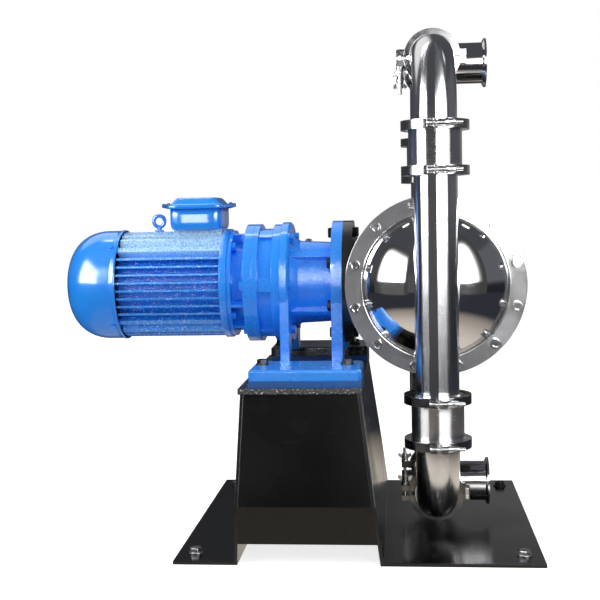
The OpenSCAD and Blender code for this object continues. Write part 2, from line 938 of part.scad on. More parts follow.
module terminal_lid() {
  color(blue)
    difference() {
      union() {
        translate([0, 0, lid_z])
          linear_extrude(height = lid_flange_t)
            rounded_plan(tbox_x0 - 2, tbox_x1 + 2, tbox_w + 4, 13);
        hull() {
          translate([0, 0, lid_z + lid_flange_t - 1])
            linear_extrude(height = 1)
              rounded_plan(tbox_x0 + 3, tbox_x1 - 3, tbox_w - 6, 12);
          translate([0, 0, lid_z + lid_flange_t + lid_rise - 3])
            linear_extrude(height = 3)
              rounded_plan(tbox_x0 + 16, tbox_x1 - 16, tbox_w - 32, 12);
        }
        for (s = [-1, 1])
          hull()
            for (x = [lid_screw_x[0], lid_screw_x[1]])
              translate([x, s * (tbox_w / 2 - 14), lid_z])
                cylinder(h = lid_flange_t, r = 7, $fn = 32);
      }
      translate([0, 0, lid_z - 1])
        linear_extrude(height = lid_flange_t + 6)
          rounded_plan(tbox_x0 + 10, tbox_x1 - 10, tbox_w - 20, 8);
      for (x = lid_screw_x, s = [-1, 1])
        translate([x, s * (tbox_w / 2 - 14), lid_z - 1])
          cylinder(h = lid_flange_t + 2, r = 2.6);
    }
}

module lid_screws() {
  color(steel)
    for (x = lid_screw_x, s = [-1, 1])
      translate([x, s * (tbox_w / 2 - 14), lid_z]) {
        translate([0, 0, lid_flange_t]) cylinder(h = 3, r = 4.2);
        translate([0, 0, -4]) cylinder(h = lid_flange_t + 4, r = 2.4);
      }
}

module terminal_block() {
  cx = (tbox_x0 + tbox_x1) / 2 - 8;
  color([0.35, 0.12, 0.08]) {
    block(cx - 28, cx + 28, 21, 42, tbox_z + 6, tbox_z + 16);
    for (i = [-1 : 1])
      zcyl(tbox_z + 15, tbox_z + 28, 2.5, cx + i * 18, 31);
  }
}

module motor_bolts() {
  color(blue)
    for (b = mot_bolt_a)
      turned_x(b) {
        xcyl(x_frame, x_mot + face_t, 5, 0, axis_z + mot_pcr);
        translate([x_mot + face_t, 0, axis_z + mot_pcr])
          rotate([0, 90, 0]) hex_head(mot_head, mot_head * 0.42);
      }
}

module bearing(x0, ri, ro, w) {
  difference() {
    xcyl(x0, x0 + w, ro);
    xcyl(x0 - 1, x0 + w + 1, ri);
  }
}

module shaft_bearings() {
  color(steel) {
    bearing(x_case + 4, shaft_r + run_gap, bearing_r, bearing_w);
    bearing(out_face - bearing_w - 2, shaft_r + run_gap, bearing_r, bearing_w);
    bearing(x_frame - 12, mot_shaft_r + run_gap, mot_bearing_r, mot_bearing_w);
    bearing(x_ring1 - 9, mot_shaft_r + run_gap, mot_bearing_r + 12, 9);
    // Rear bearing with the rear end shield
    bearing(x_cover - 8, mot_shaft_r + run_gap, bore_r - 0.1, 24);
  }
}

// Drive box and chambers

module drive_box() {
  color(black)
    difference() {
      union() {
        xcyl(out_face, box_x0, out_flange_r);
        translate([0, 0, axis_z])
          hull()
            for (y = [-1, 1], z = [-1, 1])
              translate([box_x0 - 1, y * (box_half - 24), z * (box_half - 24)])
                rotate([0, 90, 0])
                  cylinder(h = box_x1 - box_x0 + 1, r = 24, $fn = 32);
      }
      // Room of the crank
      block(box_x0 + 24, box_x1 - box_wall, -room, room, axis_z - room, axis_z + room);
      xcyl(out_face - 1, box_x0 + 30, shaft_r + 2);
      ycyl(-box_half - 1, box_half + 1, rod_r + run_gap);
      around_x(8, 22.5)
        xcyl(out_face - 1, box_x0 + 1, 6.5, 0, axis_z + out_pcr);
    }
}

// A cone from the drive box out to the flange of a chamber, with the guide of the rod
module adapter() {
  difference() {
    union() {
      ycyl(-box_face, -box_face + box_flange_t, chamber_r);
      translate([pump_x, -box_face + box_flange_t - 0.1, axis_z])
        rotate([-90, 0, 0])
          cylinder(h = box_face - box_flange_t - box_half + 0.1, r1 = dome_r + 6, r2 = box_half);
    }
    ycyl(-box_face - 1, -box_face + stroke_gap + plate_w, pocket_r);
    ycyl(-box_face, -box_half + 1, rod_r + run_gap);
    for (i = [0 : chamber_bolts_n - 1])
      translate([pump_x, -box_face - 1, axis_z])
        rotate([-90, 0, 0])
          rotate([0, 0, 15 + i * 360 / chamber_bolts_n])
            translate([chamber_pcd / 2, 0, 0])
              cylinder(h = box_flange_t + 2, r = chamber_bolt_r + thread_gap);
  }
}

module chamber_adapters() {
  color(black) both_sides() adapter();
}

module drive_bolts() {
  color(black)
    around_x(8, 22.5)
      x_bolt(x_house, box_x0, 6, 18, 0, axis_z + out_pcr);
}

// A ferrule on the end of a tube, with its face at z = 0 and its tube going down
module ferrule_solid(r_rim, r_tube, back = 10) {
  translate([0, 0, -rim_t]) cylinder(h = rim_t, r = r_rim);
  translate([0, 0, -rim_t - rim_cone]) cylinder(h = rim_cone, r1 = r_tube + 2, r2 = r_rim);
  translate([0, 0, -back]) cylinder(h = back, r = r_tube);
}

module chamber() {
  color(polished)
    difference() {
      union() {
        ycyl(-chamber_y, -dia_y, chamber_r);
        // Weld bead at the foot of the dome
        ycyl(-chamber_y - 3, -chamber_y + 1, dome_r + 3);
        intersection() {
          translate([pump_x, -dome_cy, axis_z]) sphere(r = dome_sr, $fn = 128);
          ycyl(-chamber_y - dome_h - 5, -chamber_y + 1, dome_r + 2);
        }
        zcyl(z_lo + gasket_t / 2, z_up - gasket_t / 2, tube_r, pump_x, -man_y);
        translate([pump_x, -man_y, z_up - gasket_t / 2]) ferrule_solid(ferrule_r, tube_r);
        translate([pump_x, -man_y, z_lo + gasket_t / 2])
          mirror([0, 0, 1]) ferrule_solid(ferrule_r, tube_r);
      }
      intersection() {
        translate([pump_x, -dome_cy, axis_z]) sphere(r = dome_sr - dome_t, $fn = 128);
        ycyl(-chamber_y - dome_h, -chamber_y + 1, dome_r + 2);
      }
      ycyl(-chamber_y - 0.5, -dia_y + 1, pocket_r);
      zcyl(z_lo - 1, z_up + 1, tube_ri, pump_x, -man_y);
      for (i = [0 : chamber_bolts_n - 1])
        translate([pump_x, -chamber_y - 5, axis_z])
          rotate([-90, 0, 0])
            rotate([0, 0, 15 + i * 360 / chamber_bolts_n])
              translate([chamber_pcd / 2, 0, 0])
                cylinder(h = chamber_t + 6, r = chamber_hole_r);
    }
}

module front_chamber() {
  chamber();
}

module rear_chamber() {
  mirror([0, 1, 0]) chamber();
}

module chamber_bolts() {
  color(steel)
    both_sides()
      for (i = [0 : chamber_bolts_n - 1])
        translate([pump_x, -chamber_y, axis_z])
          rotate([-90, 0, 0])
            rotate([0, 0, 15 + i * 360 / chamber_bolts_n])
              translate([chamber_pcd / 2, 0, 0])
                difference() {
                  union() {
                    translate([0, 0, -12]) cylinder(h = 12, r = 9);
                    cylinder(h = chamber_t + dia_t + box_flange_t, r = chamber_bolt_r);
                  }
                  translate([0, 0, -13]) cylinder(h = 7, r = 5.8, $fn = 6);
                }
}

module rim() {
  difference() {
    ycyl(-dia_y, -box_face, chamber_r);
    ycyl(-dia_y - 1, -box_face + 1, pocket_r);
    for (i = [0 : chamber_bolts_n - 1])
      translate([pump_x, -dia_y - 1, axis_z])
        rotate([-90, 0, 0])
          rotate([0, 0, 15 + i * 360 / chamber_bolts_n])
            translate([chamber_pcd / 2, 0, 0])
              cylinder(h = dia_t + 2, r = chamber_hole_r);
  }
}

module diaphragm_rims() {
  color(rubber) both_sides() rim();
}

// The flexing part, with one roll between the plates and the rim
module membrane() {
  roll_r = (plate_r + mem_r) / 2;
  color(rubber)
    translate([pump_x, -dia_y, axis_z])
      rotate([-90, 0, 0])
        difference() {
          union() {
            cylinder(h = dia_t, r = mem_r);
            rotate_extrude()
              translate([roll_r, dia_t])
                intersection() {
                  circle(r = roll_out);
                  translate([-roll_out, 0]) square([2 * roll_out, roll_out]);
                }
          }
          rotate_extrude()
            translate([roll_r, dia_t])
              circle(r = roll_in);
          translate([0, 0, -1]) cylinder(h = dia_t + 2, r = rod_r - 3);
        }
}

module diaphragm_front() {
  membrane();
}

module diaphragm_rear() {
  mirror([0, 1, 0]) membrane();
}

module yoke() {
  color(steel)
    difference() {
      union() {
        translate([pump_x - yoke_x / 2, -win_y - yoke_wall, axis_z - win_z - yoke_wall])
          cube([yoke_x, 2 * (win_y + yoke_wall), 2 * (win_z + yoke_wall)]);
        both_sides() {
          ycyl(-box_face + plate_w, -win_y - 1, rod_r);
          ycyl(-dia_y - plate_w - 8, -box_face + plate_w + 1, rod_r - 3.1);
        }
      }
      translate([pump_x - yoke_x, -win_y, axis_z - win_z])
        cube([2 * yoke_x, 2 * win_y, 2 * win_z]);
    }
}

module diaphragm_plates() {
  color(polished)
    both_sides() {
      difference() {
        ycyl(-box_face, -box_face + plate_w, plate_r);
        ycyl(-box_face - 1, -box_face + plate_w + 1, rod_r - 3);
      }
      difference() {
        union() {
          ycyl(-dia_y - 3, -dia_y, plate_r);
          translate([pump_x, -dia_y - 3, axis_z])
            rotate([90, 0, 0])
              cylinder(h = 5, r1 = plate_r - 3, r2 = 30);
          ycyl(-dia_y - plate_w - 10, -dia_y - 4, 18);
        }
        ycyl(-dia_y - plate_w - 8, -dia_y + 1, rod_r - 3);
      }
    }
}

// Valves

// A valve housing with its lower face at z = 0
module spool(h) {
  color(polished)
    difference() {
      union() {
        cylinder(h = h, r = spool_r);
        translate([0, 0, h]) ferrule_solid(ferrule_r, spool_r);
        mirror([0, 0, 1]) ferrule_solid(ferrule_r, spool_r);
      }
      difference() {
        translate([0, 0, -1]) cylinder(h = h + 2, r = spool_r - spool_wall);
        // Seat ring
        difference() {
          translate([0, 0, -2]) cylinder(h = seat_h + 2, r = spool_r);
          translate([0, 0, -3]) cylinder(h = seat_h + 4, r = seat_r);
        }
        // Ball stop
        for (a = [45, 135])
          rotate([0, 0, a])
            translate([-spool_r, -3, cage_z])
              cube([2 * spool_r, 6, cage_t]);
      }
      translate([0, 0, -1]) cylinder(h = 1, r = ferrule_r + 1);
    }
}

spool_h = clamp_pitch - gasket_t;

module spool_upper_front() {
  translate([pump_x, -man_y, z_up + gasket_t / 2]) spool(spool_h);
}

module spool_upper_rear() {
  translate([pump_x, man_y, z_up + gasket_t / 2]) spool(spool_h);
}

module spool_lower_front() {
  translate([pump_x, -man_y, z_lo2 + gasket_t / 2]) spool(spool_h);
}

module spool_lower_rear() {
  translate([pump_x, man_y, z_lo2 + gasket_t / 2]) spool(spool_h);
}

module ball(y, z) {
  color(rubber)
    translate([pump_x, y, z + gasket_t / 2 + ball_z])
      sphere(r = ball_r);
}

module ball_upper_front() {
  ball(-man_y, z_up);
}

module ball_upper_rear() {
  ball(man_y, z_up);
}

module ball_lower_front() {
  ball(-man_y, z_lo2);
}

module ball_lower_rear() {
  ball(man_y, z_lo2);
}

// A hollow ferrule end, as ferrule_solid, bored to the tube
module ferrule_tube(r_rim, r_tube, r_bore, back) {
  bore = max(back, rim_t + rim_cone);
  difference() {
    ferrule_solid(r_rim, r_tube, back);
    translate([0, 0, -bore - 1]) cylinder(h = bore + 2, r = r_bore);
  }
}

// A quarter of a bent tube, from -Y round to +Z
module elbow_bend() {
  rotate([90, 0, -90])
    rotate_extrude(angle = 90)
      translate([elbow_r, 0])
        difference() {
          circle(r = tube_r);
          circle(r = tube_ri);
        }
}

// An elbow from a valve housing up and over to its tee, both given as heights over the axis
module elbow(joint, tee) {
  color(polished)
    translate([pump_x, 0, 0])
      union() {
        translate([0, -man_y, joint + gasket_t / 2])
          mirror([0, 0, 1])
            ferrule_tube(ferrule_r, tube_r, tube_ri, tee - elbow_r - joint - gasket_t / 2);
        translate([0, -man_y + elbow_r, tee - elbow_r]) elbow_bend();
        translate([0, -tee_y - gasket_t / 2, tee])
          rotate([-90, 0, 0])
            ferrule_tube(port_ferrule_r, tube_r, tube_ri, man_y - elbow_r - tee_y - gasket_t / 2);
      }
}

module elbow_upper() {
  translate([0, 0, axis_z]) elbow(clamp_up + clamp_pitch, outlet_h);
}

module elbow_lower() {
  translate([0, 0, axis_z]) mirror([0, 0, 1]) elbow(clamp_lo + clamp_pitch, inlet_h);
}

module elbow_upper_front() {
  elbow_upper();
}

module elbow_upper_rear() {
  mirror([0, 1, 0]) elbow_upper();
}

module elbow_lower_front() {
  elbow_lower();
}

module elbow_lower_rear() {
  mirror([0, 1, 0]) elbow_lower();
}

// A tee between the elbows, with its port towards +X
module tee(z) {
  color(polished)
    translate([pump_x, 0, z])
      difference() {
        union() {
          rotate([90, 0, 0]) cylinder(h = 2 * tee_y - gasket_t, r = tube_r, center = true);
          for (s = [0, 1])
            mirror([0, s, 0])
              translate([0, tee_y - gasket_t / 2, 0])
                rotate([-90, 0, 0]) ferrule_solid(port_ferrule_r, tube_r);
          rotate([0, 90, 0]) cylinder(h = port_l, r = tube_r);
          translate([port_l, 0, 0]) rotate([0, 90, 0]) ferrule_solid(port_ferrule_r, tube_r);
        }
        rotate([90, 0, 0]) cylinder(h = 2 * tee_y + 2, r = tube_ri, center = true);
        rotate([0, 90, 0]) cylinder(h = port_l + 1, r = tube_ri);
      }
}

module outlet_tee() {
  tee(z_out);
}

module inlet_tee() {
  tee(z_in);
}

module gasket(r) {
  difference() {
    cylinder(h = gasket_t, r = r - 1, center = true);
    cylinder(h = gasket_t + 2, r = tube_ri, center = true);
  }
}

// Places children at each clamp joint; children(0) for large, children(1) for small
module at_joints() {
  for (s = [0, 1])
    mirror([0, s, 0])
      for (z = [z_lo2, z_lo, z_up, z_up2])
        translate([pump_x, -man_y, z]) children(0);
  // The nuts of the outlet's clamps point down and those of the inlet's point up
  for (s = [-1, 1], m = [0, 1])
    translate([pump_x, s * tee_y, m == 0 ? z_out : z_in])
      rotate([90, 0, 0])
        rotate([0, 0, -90])
          mirror([m, 0, 0])
            children(1);
}

module gaskets() {
  color(rubber)
    at_joints() {
      gasket(ferrule_r);
      gasket(port_ferrule_r);
    }
}

lug_x0 = 4;
lug_x1 = 15;
lug_l = 20;
bolt_r = 3.5;
wing_lean = 38;

// Two half rings with lugs at -Y and a hinge at +Y, about a ferrule of radius r
module clamp_ring(r) {
  ro = r + clamp_wall;
  difference() {
    union() {
      cylinder(h = clamp_h, r = ro, center = true);
      for (s = [-1, 1])
        translate([s * (lug_x0 + lug_x1) / 2, -ro - lug_l / 2 + 6, 0])
          cube([lug_x1 - lug_x0, lug_l, 13], center = true);
      for (s = [-1, 1])
        translate([s * 7, ro + 3, 0])
          cube([12, 14, 12], center = true);
    }
    cylinder(h = clamp_h + 2, r = r - 5, center = true);
    // Groove that takes both rims
    cylinder(h = 2 * rim_t + gasket_t, r = r + 0.3, center = true);
    for (s = [0, 1])
      mirror([0, 0, s])
        translate([0, 0, rim_t + gasket_t / 2 - 0.01])
          cylinder(h = rim_cone, r1 = r + 0.3, r2 = r - 5);
    translate([0, -ro, 0]) cube([2 * lug_x0 - 2, 2 * ro, clamp_h + 2], center = true);
    translate([0, ro, 0]) cube([1, 40, clamp_h + 2], center = true);
    // Slots for the swing bolt, and the hinge pins' bores
    translate([0, -ro - lug_l + 10, 0]) cube([2 * lug_x1 + 2, lug_l, 2 * bolt_r + 1], center = true);
    for (s = [-1, 1])
      translate([s * 7, ro + 5, 0]) cylinder(h = 20, r = 2.5, center = true);
  }
}

module clamps() {
  color(polished)
    at_joints() {
      clamp_ring(ferrule_r);
      clamp_ring(port_ferrule_r);
    }
}

// Swing bolt, wing nut and the hinge link of one clamp
module clamp_screw(r) {
  ro = r + clamp_wall;
  by = -ro - 7;
  translate([-lug_x1 + 3, by, 0]) rotate([0, 90, 0]) cylinder(h = 56, r = bolt_r);
  translate([-lug_x1 + 2, by, 0]) sphere(r = 3.8);
  translate([lug_x1 + 0.3, by, 0])
    rotate([0, 90, 0]) {
      cylinder(h = 4, r = 7.5);
      translate([0, 0, 4]) cylinder(h = 13, r1 = 6.5, r2 = 5.5);
      for (s = [-1, 1])
        translate([0, s * 4, 9])
          rotate([s * wing_lean, 0, 0]) {
            translate([-1.7, s > 0 ? 0 : -7, -3.5]) cube([3.4, 7, 7]);
            translate([0, s * 8, 0])
              rotate([0, 90, 0]) cylinder(h = 3.4, r = 3.5, center = true);
          }
    }
  for (s = [-1, 1])
    translate([s * 7, ro + 5, 0]) cylinder(h = 17, r = 2.4, center = true);
  for (s = [-1, 1])
    translate([0, ro + 5, s * 7.4]) cube([20, 6, 2], center = true);
}

module clamp_screws() {
  color(steel)
    at_joints() {
      clamp_screw(ferrule_r);
      clamp_screw(port_ferrule_r);
    }
}

base_left();
base_right();
front_skirt();
rear_skirt();
top_plate();
foot_spacers();
foot_bolts();
reducer_case();
pin_gear_case();
ring_pins();
input_flange();
case_bolts();
breather();
cycloid_disc_a();
cycloid_disc_b();
crank();
slide_block();
motor_shell();
motor_frame();
stator_core();
rotor();
fan();
fan_cover();
fan_screws();
eyebolt();
terminal_box();
terminal_lid();
lid_screws();
terminal_block();
motor_bolts();
shaft_bearings();
drive_box();
chamber_adapters();
drive_bolts();
front_chamber();
rear_chamber();
chamber_bolts();
diaphragm_rims();
diaphragm_front();
diaphragm_rear();
yoke();
diaphragm_plates();
spool_upper_front();
spool_upper_rear();
spool_lower_front();
spool_lower_rear();
ball_upper_front();
ball_upper_rear();
ball_lower_front();
ball_lower_rear();
elbow_upper_front();
elbow_upper_rear();
elbow_lower_front();
elbow_lower_rear();
outlet_tee();
inlet_tee();
gaskets();
clamps();
clamp_screws();
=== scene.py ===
"""Looks of the sanitary electric diaphragm pump: polished tubes and chambers, a blue cast drive
and a black bent sheet base. New pieces are surfaces worked out with numpy; the rest are CAD
nodes with finishes of their own. Lengths are in metres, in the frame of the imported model."""

import bmesh
import bpy
import math
import numpy as np
from mathutils import Matrix, Vector


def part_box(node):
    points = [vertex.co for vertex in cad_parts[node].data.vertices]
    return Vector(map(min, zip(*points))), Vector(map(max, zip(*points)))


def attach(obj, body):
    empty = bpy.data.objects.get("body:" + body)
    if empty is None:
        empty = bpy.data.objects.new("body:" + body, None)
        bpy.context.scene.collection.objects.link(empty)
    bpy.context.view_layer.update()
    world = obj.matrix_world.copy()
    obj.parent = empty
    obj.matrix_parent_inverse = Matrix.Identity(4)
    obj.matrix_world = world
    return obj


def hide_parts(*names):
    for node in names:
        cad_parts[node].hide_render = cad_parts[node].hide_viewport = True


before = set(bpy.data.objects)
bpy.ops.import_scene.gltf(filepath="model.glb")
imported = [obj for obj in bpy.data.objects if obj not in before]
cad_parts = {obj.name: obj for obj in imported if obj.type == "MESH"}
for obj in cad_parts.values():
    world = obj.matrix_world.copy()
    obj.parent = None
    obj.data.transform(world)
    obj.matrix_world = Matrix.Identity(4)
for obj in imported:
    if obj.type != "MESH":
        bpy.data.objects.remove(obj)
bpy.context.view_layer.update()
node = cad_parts

TAU = 2 * math.pi
X = np.array([1.0, 0.0, 0.0])
Y = np.array([0.0, 1.0, 0.0])
Z = np.array([0.0, 0.0, 1.0])

# Places repeated from the source of the part
AXIS_Z = 0.471  # height of the motor's axis and of the domes' centres
PUMP_X = 0.142  # place of the chambers and pipes along x


def in_scene(obj):
    """Links a new object into the scene."""
    bpy.context.scene.collection.objects.link(obj)
    return obj


def mesh_object(name, points, faces, material):
    """An object from lists of points and faces."""
    mesh = bpy.data.meshes.new(name)
    mesh.from_pydata(points, [], faces)
    mesh.materials.append(material)
    return in_scene(bpy.data.objects.new(name, mesh))


# Camera ----------------------------------------------------------------

PHOTO_PX = 600
SENSOR_MM = 36.0


def camera_axes(yaw, pitch, roll):
    """Right, up and forward of a camera that looks along +Y, turned left by yaw, down by pitch
    and rolled by roll, all in degrees."""
    yaw, pitch, roll = np.radians([yaw, pitch, roll])
    forward = np.array([
        -np.sin(yaw) * np.cos(pitch), np.cos(yaw) * np.cos(pitch), -np.sin(pitch)])
    level = np.array([np.cos(yaw), np.sin(yaw), 0.0])
    over = np.cross(level, forward)
    right = np.cos(roll) * level + np.sin(roll) * over
    up = -np.sin(roll) * level + np.cos(roll) * over
    return right, up, forward


def set_camera(place, yaw, pitch, roll, focal_px):
    """A camera whose focal length is given in pixels of the photo."""
    right, up, forward = camera_axes(yaw, pitch, roll)
    data = bpy.data.cameras.new("camera")
    data.sensor_width = SENSOR_MM
    data.sensor_fit = "HORIZONTAL"
    data.lens = focal_px / PHOTO_PX * SENSOR_MM
    data.clip_start, data.clip_end = 0.05, 50
    cam = in_scene(bpy.data.objects.new("camera", data))
    axes = np.stack([right, up, -forward, place], 1)
    cam.matrix_world = Matrix([*axes.tolist(), (0, 0, 0, 1)])
    bpy.context.scene.camera = cam


set_camera(place=(0.0834, -2.1213, 0.5968), yaw=5.39, pitch=4.33, roll=-1.15, focal_px=1091.4)


# Material nodes --------------------------------------------------------

class Value:
    """A socket of a node tree. Arithmetic on it adds Math nodes; 1 - v works as well as v - 1."""

    def __init__(self, finish, socket):
        self.finish = finish
        self.socket = socket

    def _math(self, op, *args):
        return self.finish.add("ShaderNodeMath", {"operation": op}, dict(enumerate(args)))

    def __add__(self, o):
        return self._math("ADD", self, o)

    __radd__ = __add__

    def __sub__(self, o):
        return self._math("SUBTRACT", self, o)

    def __rsub__(self, o):
        return self._math("SUBTRACT", o, self)

    def __mul__(self, o):
        return self._math("MULTIPLY", self, o)

    __rmul__ = __mul__

    def __pow__(self, o):
        return self._math("POWER", self, o)

    def __abs__(self):
        return self._math("ABSOLUTE", self)

    def sine(self):
        return self._math("SINE", self)

    def span(self, lo, hi, out_lo=0.0, out_hi=1.0):
        """This value mapped smoothly from lo..hi to out_lo..out_hi and held at both ends."""
        return self.finish.add(
            "ShaderNodeMapRange", {"interpolation_type": "SMOOTHSTEP", "clamp": True},
            {"Value": self, "From Min": lo, "From Max": hi, "To Min": out_lo, "To Max": out_hi},
            "Result")


class Finish:
    """One procedural material. add() makes any node from its type, settings and inputs."""

    def __init__(self, name):
        self.material = bpy.data.materials.new(name)
        self.material.use_nodes = True
        self.tree = self.material.node_tree
        self.tree.nodes.clear()
        self.out = self.tree.nodes.new("ShaderNodeOutputMaterial")
        self.coords = self.add("ShaderNodeTexCoord", {}, {}, "Object")

    def add(self, kind, settings, inputs, output=0):
        n = self.tree.nodes.new(kind)
        for key, value in settings.items():
            setattr(n, key, value)
        for key, value in inputs.items():
            socket = n.inputs[key]
            if isinstance(value, Value):
                self.tree.links.new(value.socket, socket)
            elif socket.type == "RGBA":
                socket.default_value = (*value, 1.0)
            else:
                socket.default_value = value
        return Value(self, n.outputs[output])

    def noise(self, scale, detail=3.0, rough=0.55, vector=None):
        return self.add(
            "ShaderNodeTexNoise", {},
            {"Vector": vector or self.coords, "Scale": scale, "Detail": detail,
             "Roughness": rough}, "Fac")

    def cells(self, scale):
        return self.add(
            "ShaderNodeTexVoronoi", {}, {"Vector": self.coords, "Scale": scale}, "Distance")

    def stretched(self, sx, sy, sz):
        return self.add(
            "ShaderNodeMapping", {}, {"Vector": self.coords, "Scale": (sx, sy, sz)}, "Vector")

    def axis(self, name):
        return self.add("ShaderNodeSeparateXYZ", {}, {"Vector": self.coords}, name)

    def light_path(self, kind):
        return self.add("ShaderNodeLightPath", {}, {}, kind)

    def blend(self, amount, a, b):
        """Colour a where amount is 0, colour b where it is 1."""
        factor, colour_a, colour_b, colour_out = 0, 6, 7, 2
        return self.add("ShaderNodeMix", {"data_type": "RGBA"},
                        {factor: amount, colour_a: a, colour_b: b}, colour_out)

    def rounded(self, radius):
        """The surface normal with edges softened as if they had that radius."""
        return self.add("ShaderNodeBevel", {"samples": 6}, {"Radius": radius}, "Normal")

    def bump(self, height, distance, strength, normal=None):
        inputs = {"Height": height, "Distance": distance, "Strength": strength}
        if normal is not None:
            inputs["Normal"] = normal
        return self.add("ShaderNodeBump", {}, inputs)

    def emission(self, colour, strength):
        return self.add("ShaderNodeEmission", {}, {"Color": colour, "Strength": strength})

    def end(self, shader):
        """Ends the material in a shader."""
        self.tree.links.new(shader.socket, self.out.inputs["Surface"])
        return self.material

    def surface(self, **sockets):
        """Ends the material in a Principled BSDF; names are sockets with _ for a space."""
        inputs = {k.replace("_", " "): v for k, v in sockets.items()}
        return self.end(self.add("ShaderNodeBsdfPrincipled", {}, inputs))


def scaled(colour, factor):
    """A colour made darker or paler, worked out here and not in the nodes."""
    return tuple(min(1, c * factor) for c in colour)


# Finishes --------------------------------------------------------------

# Tones of an enamel: the paint, its darker patches and the tops of its grain
BLUES = (0.0105, 0.255, 0.84), (0.008, 0.225, 0.82), (0.04, 0.42, 1.0)
NAVY = (0.016, 0.1, 0.36), (0.01, 0.07, 0.26), (0.1, 0.26, 0.55)
BLACKS = (0.012, 0.012, 0.014), (0.008, 0.008, 0.009), (0.03, 0.03, 0.034)
# Painted shade: near black laid on the reducer's far foot for the shade behind the axis
PAINTED_FOOT_SHADE = (0.004, 0.006, 0.012)
PALE_DUST = (0.55, 0.6, 0.68)
GREY_DUST = (0.35, 0.34, 0.33)
# Painted light on the finned frame: a pale top standing for light from above, and glints on the
# grain
PAINTED_TOP_LIGHT = (0.44, 0.7, 0.86)
PAINTED_GLINT = (0.45, 0.72, 0.93)
STEEL = (0.74, 0.74, 0.75)
TARNISHED = (0.6, 0.6, 0.61)
SHADED_STEEL = (0.05, 0.045, 0.04)

# Bounds between parts of one node, each given as the start and end of a soft step
FRAME_END_X = (-0.264, -0.25)    # the motor's finned frame ends, its end shield begins
# above this the fins' top gets its painted highlight
FIN_TOP_Z = (0.52, 0.534)
FAR_FOOT_Y = (0.1, 0.106)        # beyond this the reducer's far foot begins
FOOT_TOP_Z = (0.331, 0.334)
DOME_FOOT_R = (0.1325, 0.1335)   # round the domes' centres
FLANGE_FACE_Y = (0.1735, 0.1745)
TUBE_SIDE_X = (0.0385, 0.039)    # from the middle of the pipe
TUBE_BACK_Y = (0.182, 0.184)
LOW_CLAMP_Z = (0.1, 0.16)
SKIRT_BEND_Z = (0.1005, 0.1035)

# A quarter turn, so that the buffing spreads a reflection along an upright tube
BUFFED_UPRIGHT = 0.25


def paint(name, tones, gloss, peel_depth, cast_depth, edge=0.0015, dust=0.24, coat=0.7,
          far_foot_shade=None):
    """Sprayed enamel: slow changes of shade and gloss, orange peel, the grain of the casting
    under it and dust in the hollows. The colour given for the reducer's far foot is a painted
    shade: the foot stands in the shade behind the axis and is painted near black for it."""
    f = Finish(name)
    slow = f.noise(9.0, 4.0)
    peel = f.noise(260.0, 3.0, 0.6)
    cast = f.noise(70.0, 5.0, 0.62)
    shade = f.blend(slow.span(0.3, 0.72), tones[0], tones[1])
    shade = f.blend(cast.span(0.58, 0.8, 0.0, 0.4), shade, tones[2])
    if dust:
        specks = f.cells(520.0).span(0.0, 0.16, 1.0, 0.0) * f.noise(30.0).span(0.55, 0.75)
        shade = f.blend(specks * dust, shade, PALE_DUST)
    if far_foot_shade:
        # painted shade on the far foot behind the axis
        behind = f.axis("Y").span(*FAR_FOOT_Y) * f.axis("Z").span(*FOOT_TOP_Z, 1.0, 0.0)
        shade = f.blend(behind, shade, far_foot_shade)
    rough = slow.span(0.25, 0.8, *gloss) + peel.span(0.4, 0.8, 0.0, 0.05)
    normal = f.bump(cast, cast_depth, 0.8, f.rounded(edge))
    normal = f.bump(peel, peel_depth, 0.55, normal)
    return f.surface(Base_Color=shade, Roughness=rough, Normal=normal, Coat_Weight=coat,
                     Coat_Roughness=0.05)


def fin_paint(name, tones):
    """The finned frame: a coarse sand-cast skin under gloss paint, with its top painted pale, a
    painted highlight of light from above on the grain, and painted glints. The end shield has the
    paint without sand and painted light."""
    f = Finish(name)
    slow = f.noise(9.0, 4.0)
    sand = f.noise(300.0, 3.0, 0.65)
    cast = f.noise(90.0, 4.0, 0.6)
    on_frame = f.axis("X").span(*FRAME_END_X, 1.0, 0.0)
    # painted highlight on the fins' top and painted glints: colours that stand in for light
    painted_top = f.axis("Z").span(*FIN_TOP_Z) * on_frame
    glints = sand.span(0.55, 0.66) * cast.span(0.4, 0.56) * on_frame
    shade = f.blend(slow.span(0.3, 0.72), tones[0], tones[1])
    shade = f.blend(sand.span(0.52, 0.68, 0.0, 0.55) * on_frame, shade, tones[2])
    shade = f.blend(painted_top * sand.span(0.35, 0.55, 0.35, 1.0), shade, PAINTED_TOP_LIGHT)
    shade = f.blend(glints, shade, PAINTED_GLINT)
    normal = f.bump(cast, 0.0016, 0.8, f.rounded(0.0012))
    normal = f.bump(sand * on_frame, 0.0016, 0.8, normal)
    return f.surface(Base_Color=shade, Roughness=slow.span(0.25, 0.8, 0.2, 0.3), Normal=normal,
                     Coat_Weight=0.8, Coat_Roughness=0.08)


def polished(name, colour=STEEL, rough=0.07, wave=0.0003, lines=0.00003, brushed=0.0):
    """Buffed stainless: nearly a mirror, with faint buffing lines round upright tubes, a slow
    waviness left by the forming and small smears."""
    f = Finish(name)
    slow = f.noise(24.0, 2.0, 0.5)
    hair = f.noise(1100.0, 2.0, 0.5, f.stretched(0.05, 0.05, 1.0))
    smear = f.noise(14.0, 4.0, 0.6)
    r = smear.span(0.45, 0.8, rough, rough + 0.06) + hair.span(0.5, 0.9, 0.0, 0.02)
    shade = f.blend(smear.span(0.5, 0.85, 0.0, 0.5), colour, scaled(colour, 0.86))
    normal = f.bump(slow, wave, 0.6, f.rounded(0.0008))
    normal = f.bump(hair, lines, 0.6, normal)
    return f.surface(Base_Color=shade, Metallic=1.0, Roughness=r, Normal=normal,
                     Anisotropic=brushed, Anisotropic_Rotation=BUFFED_UPRIGHT)


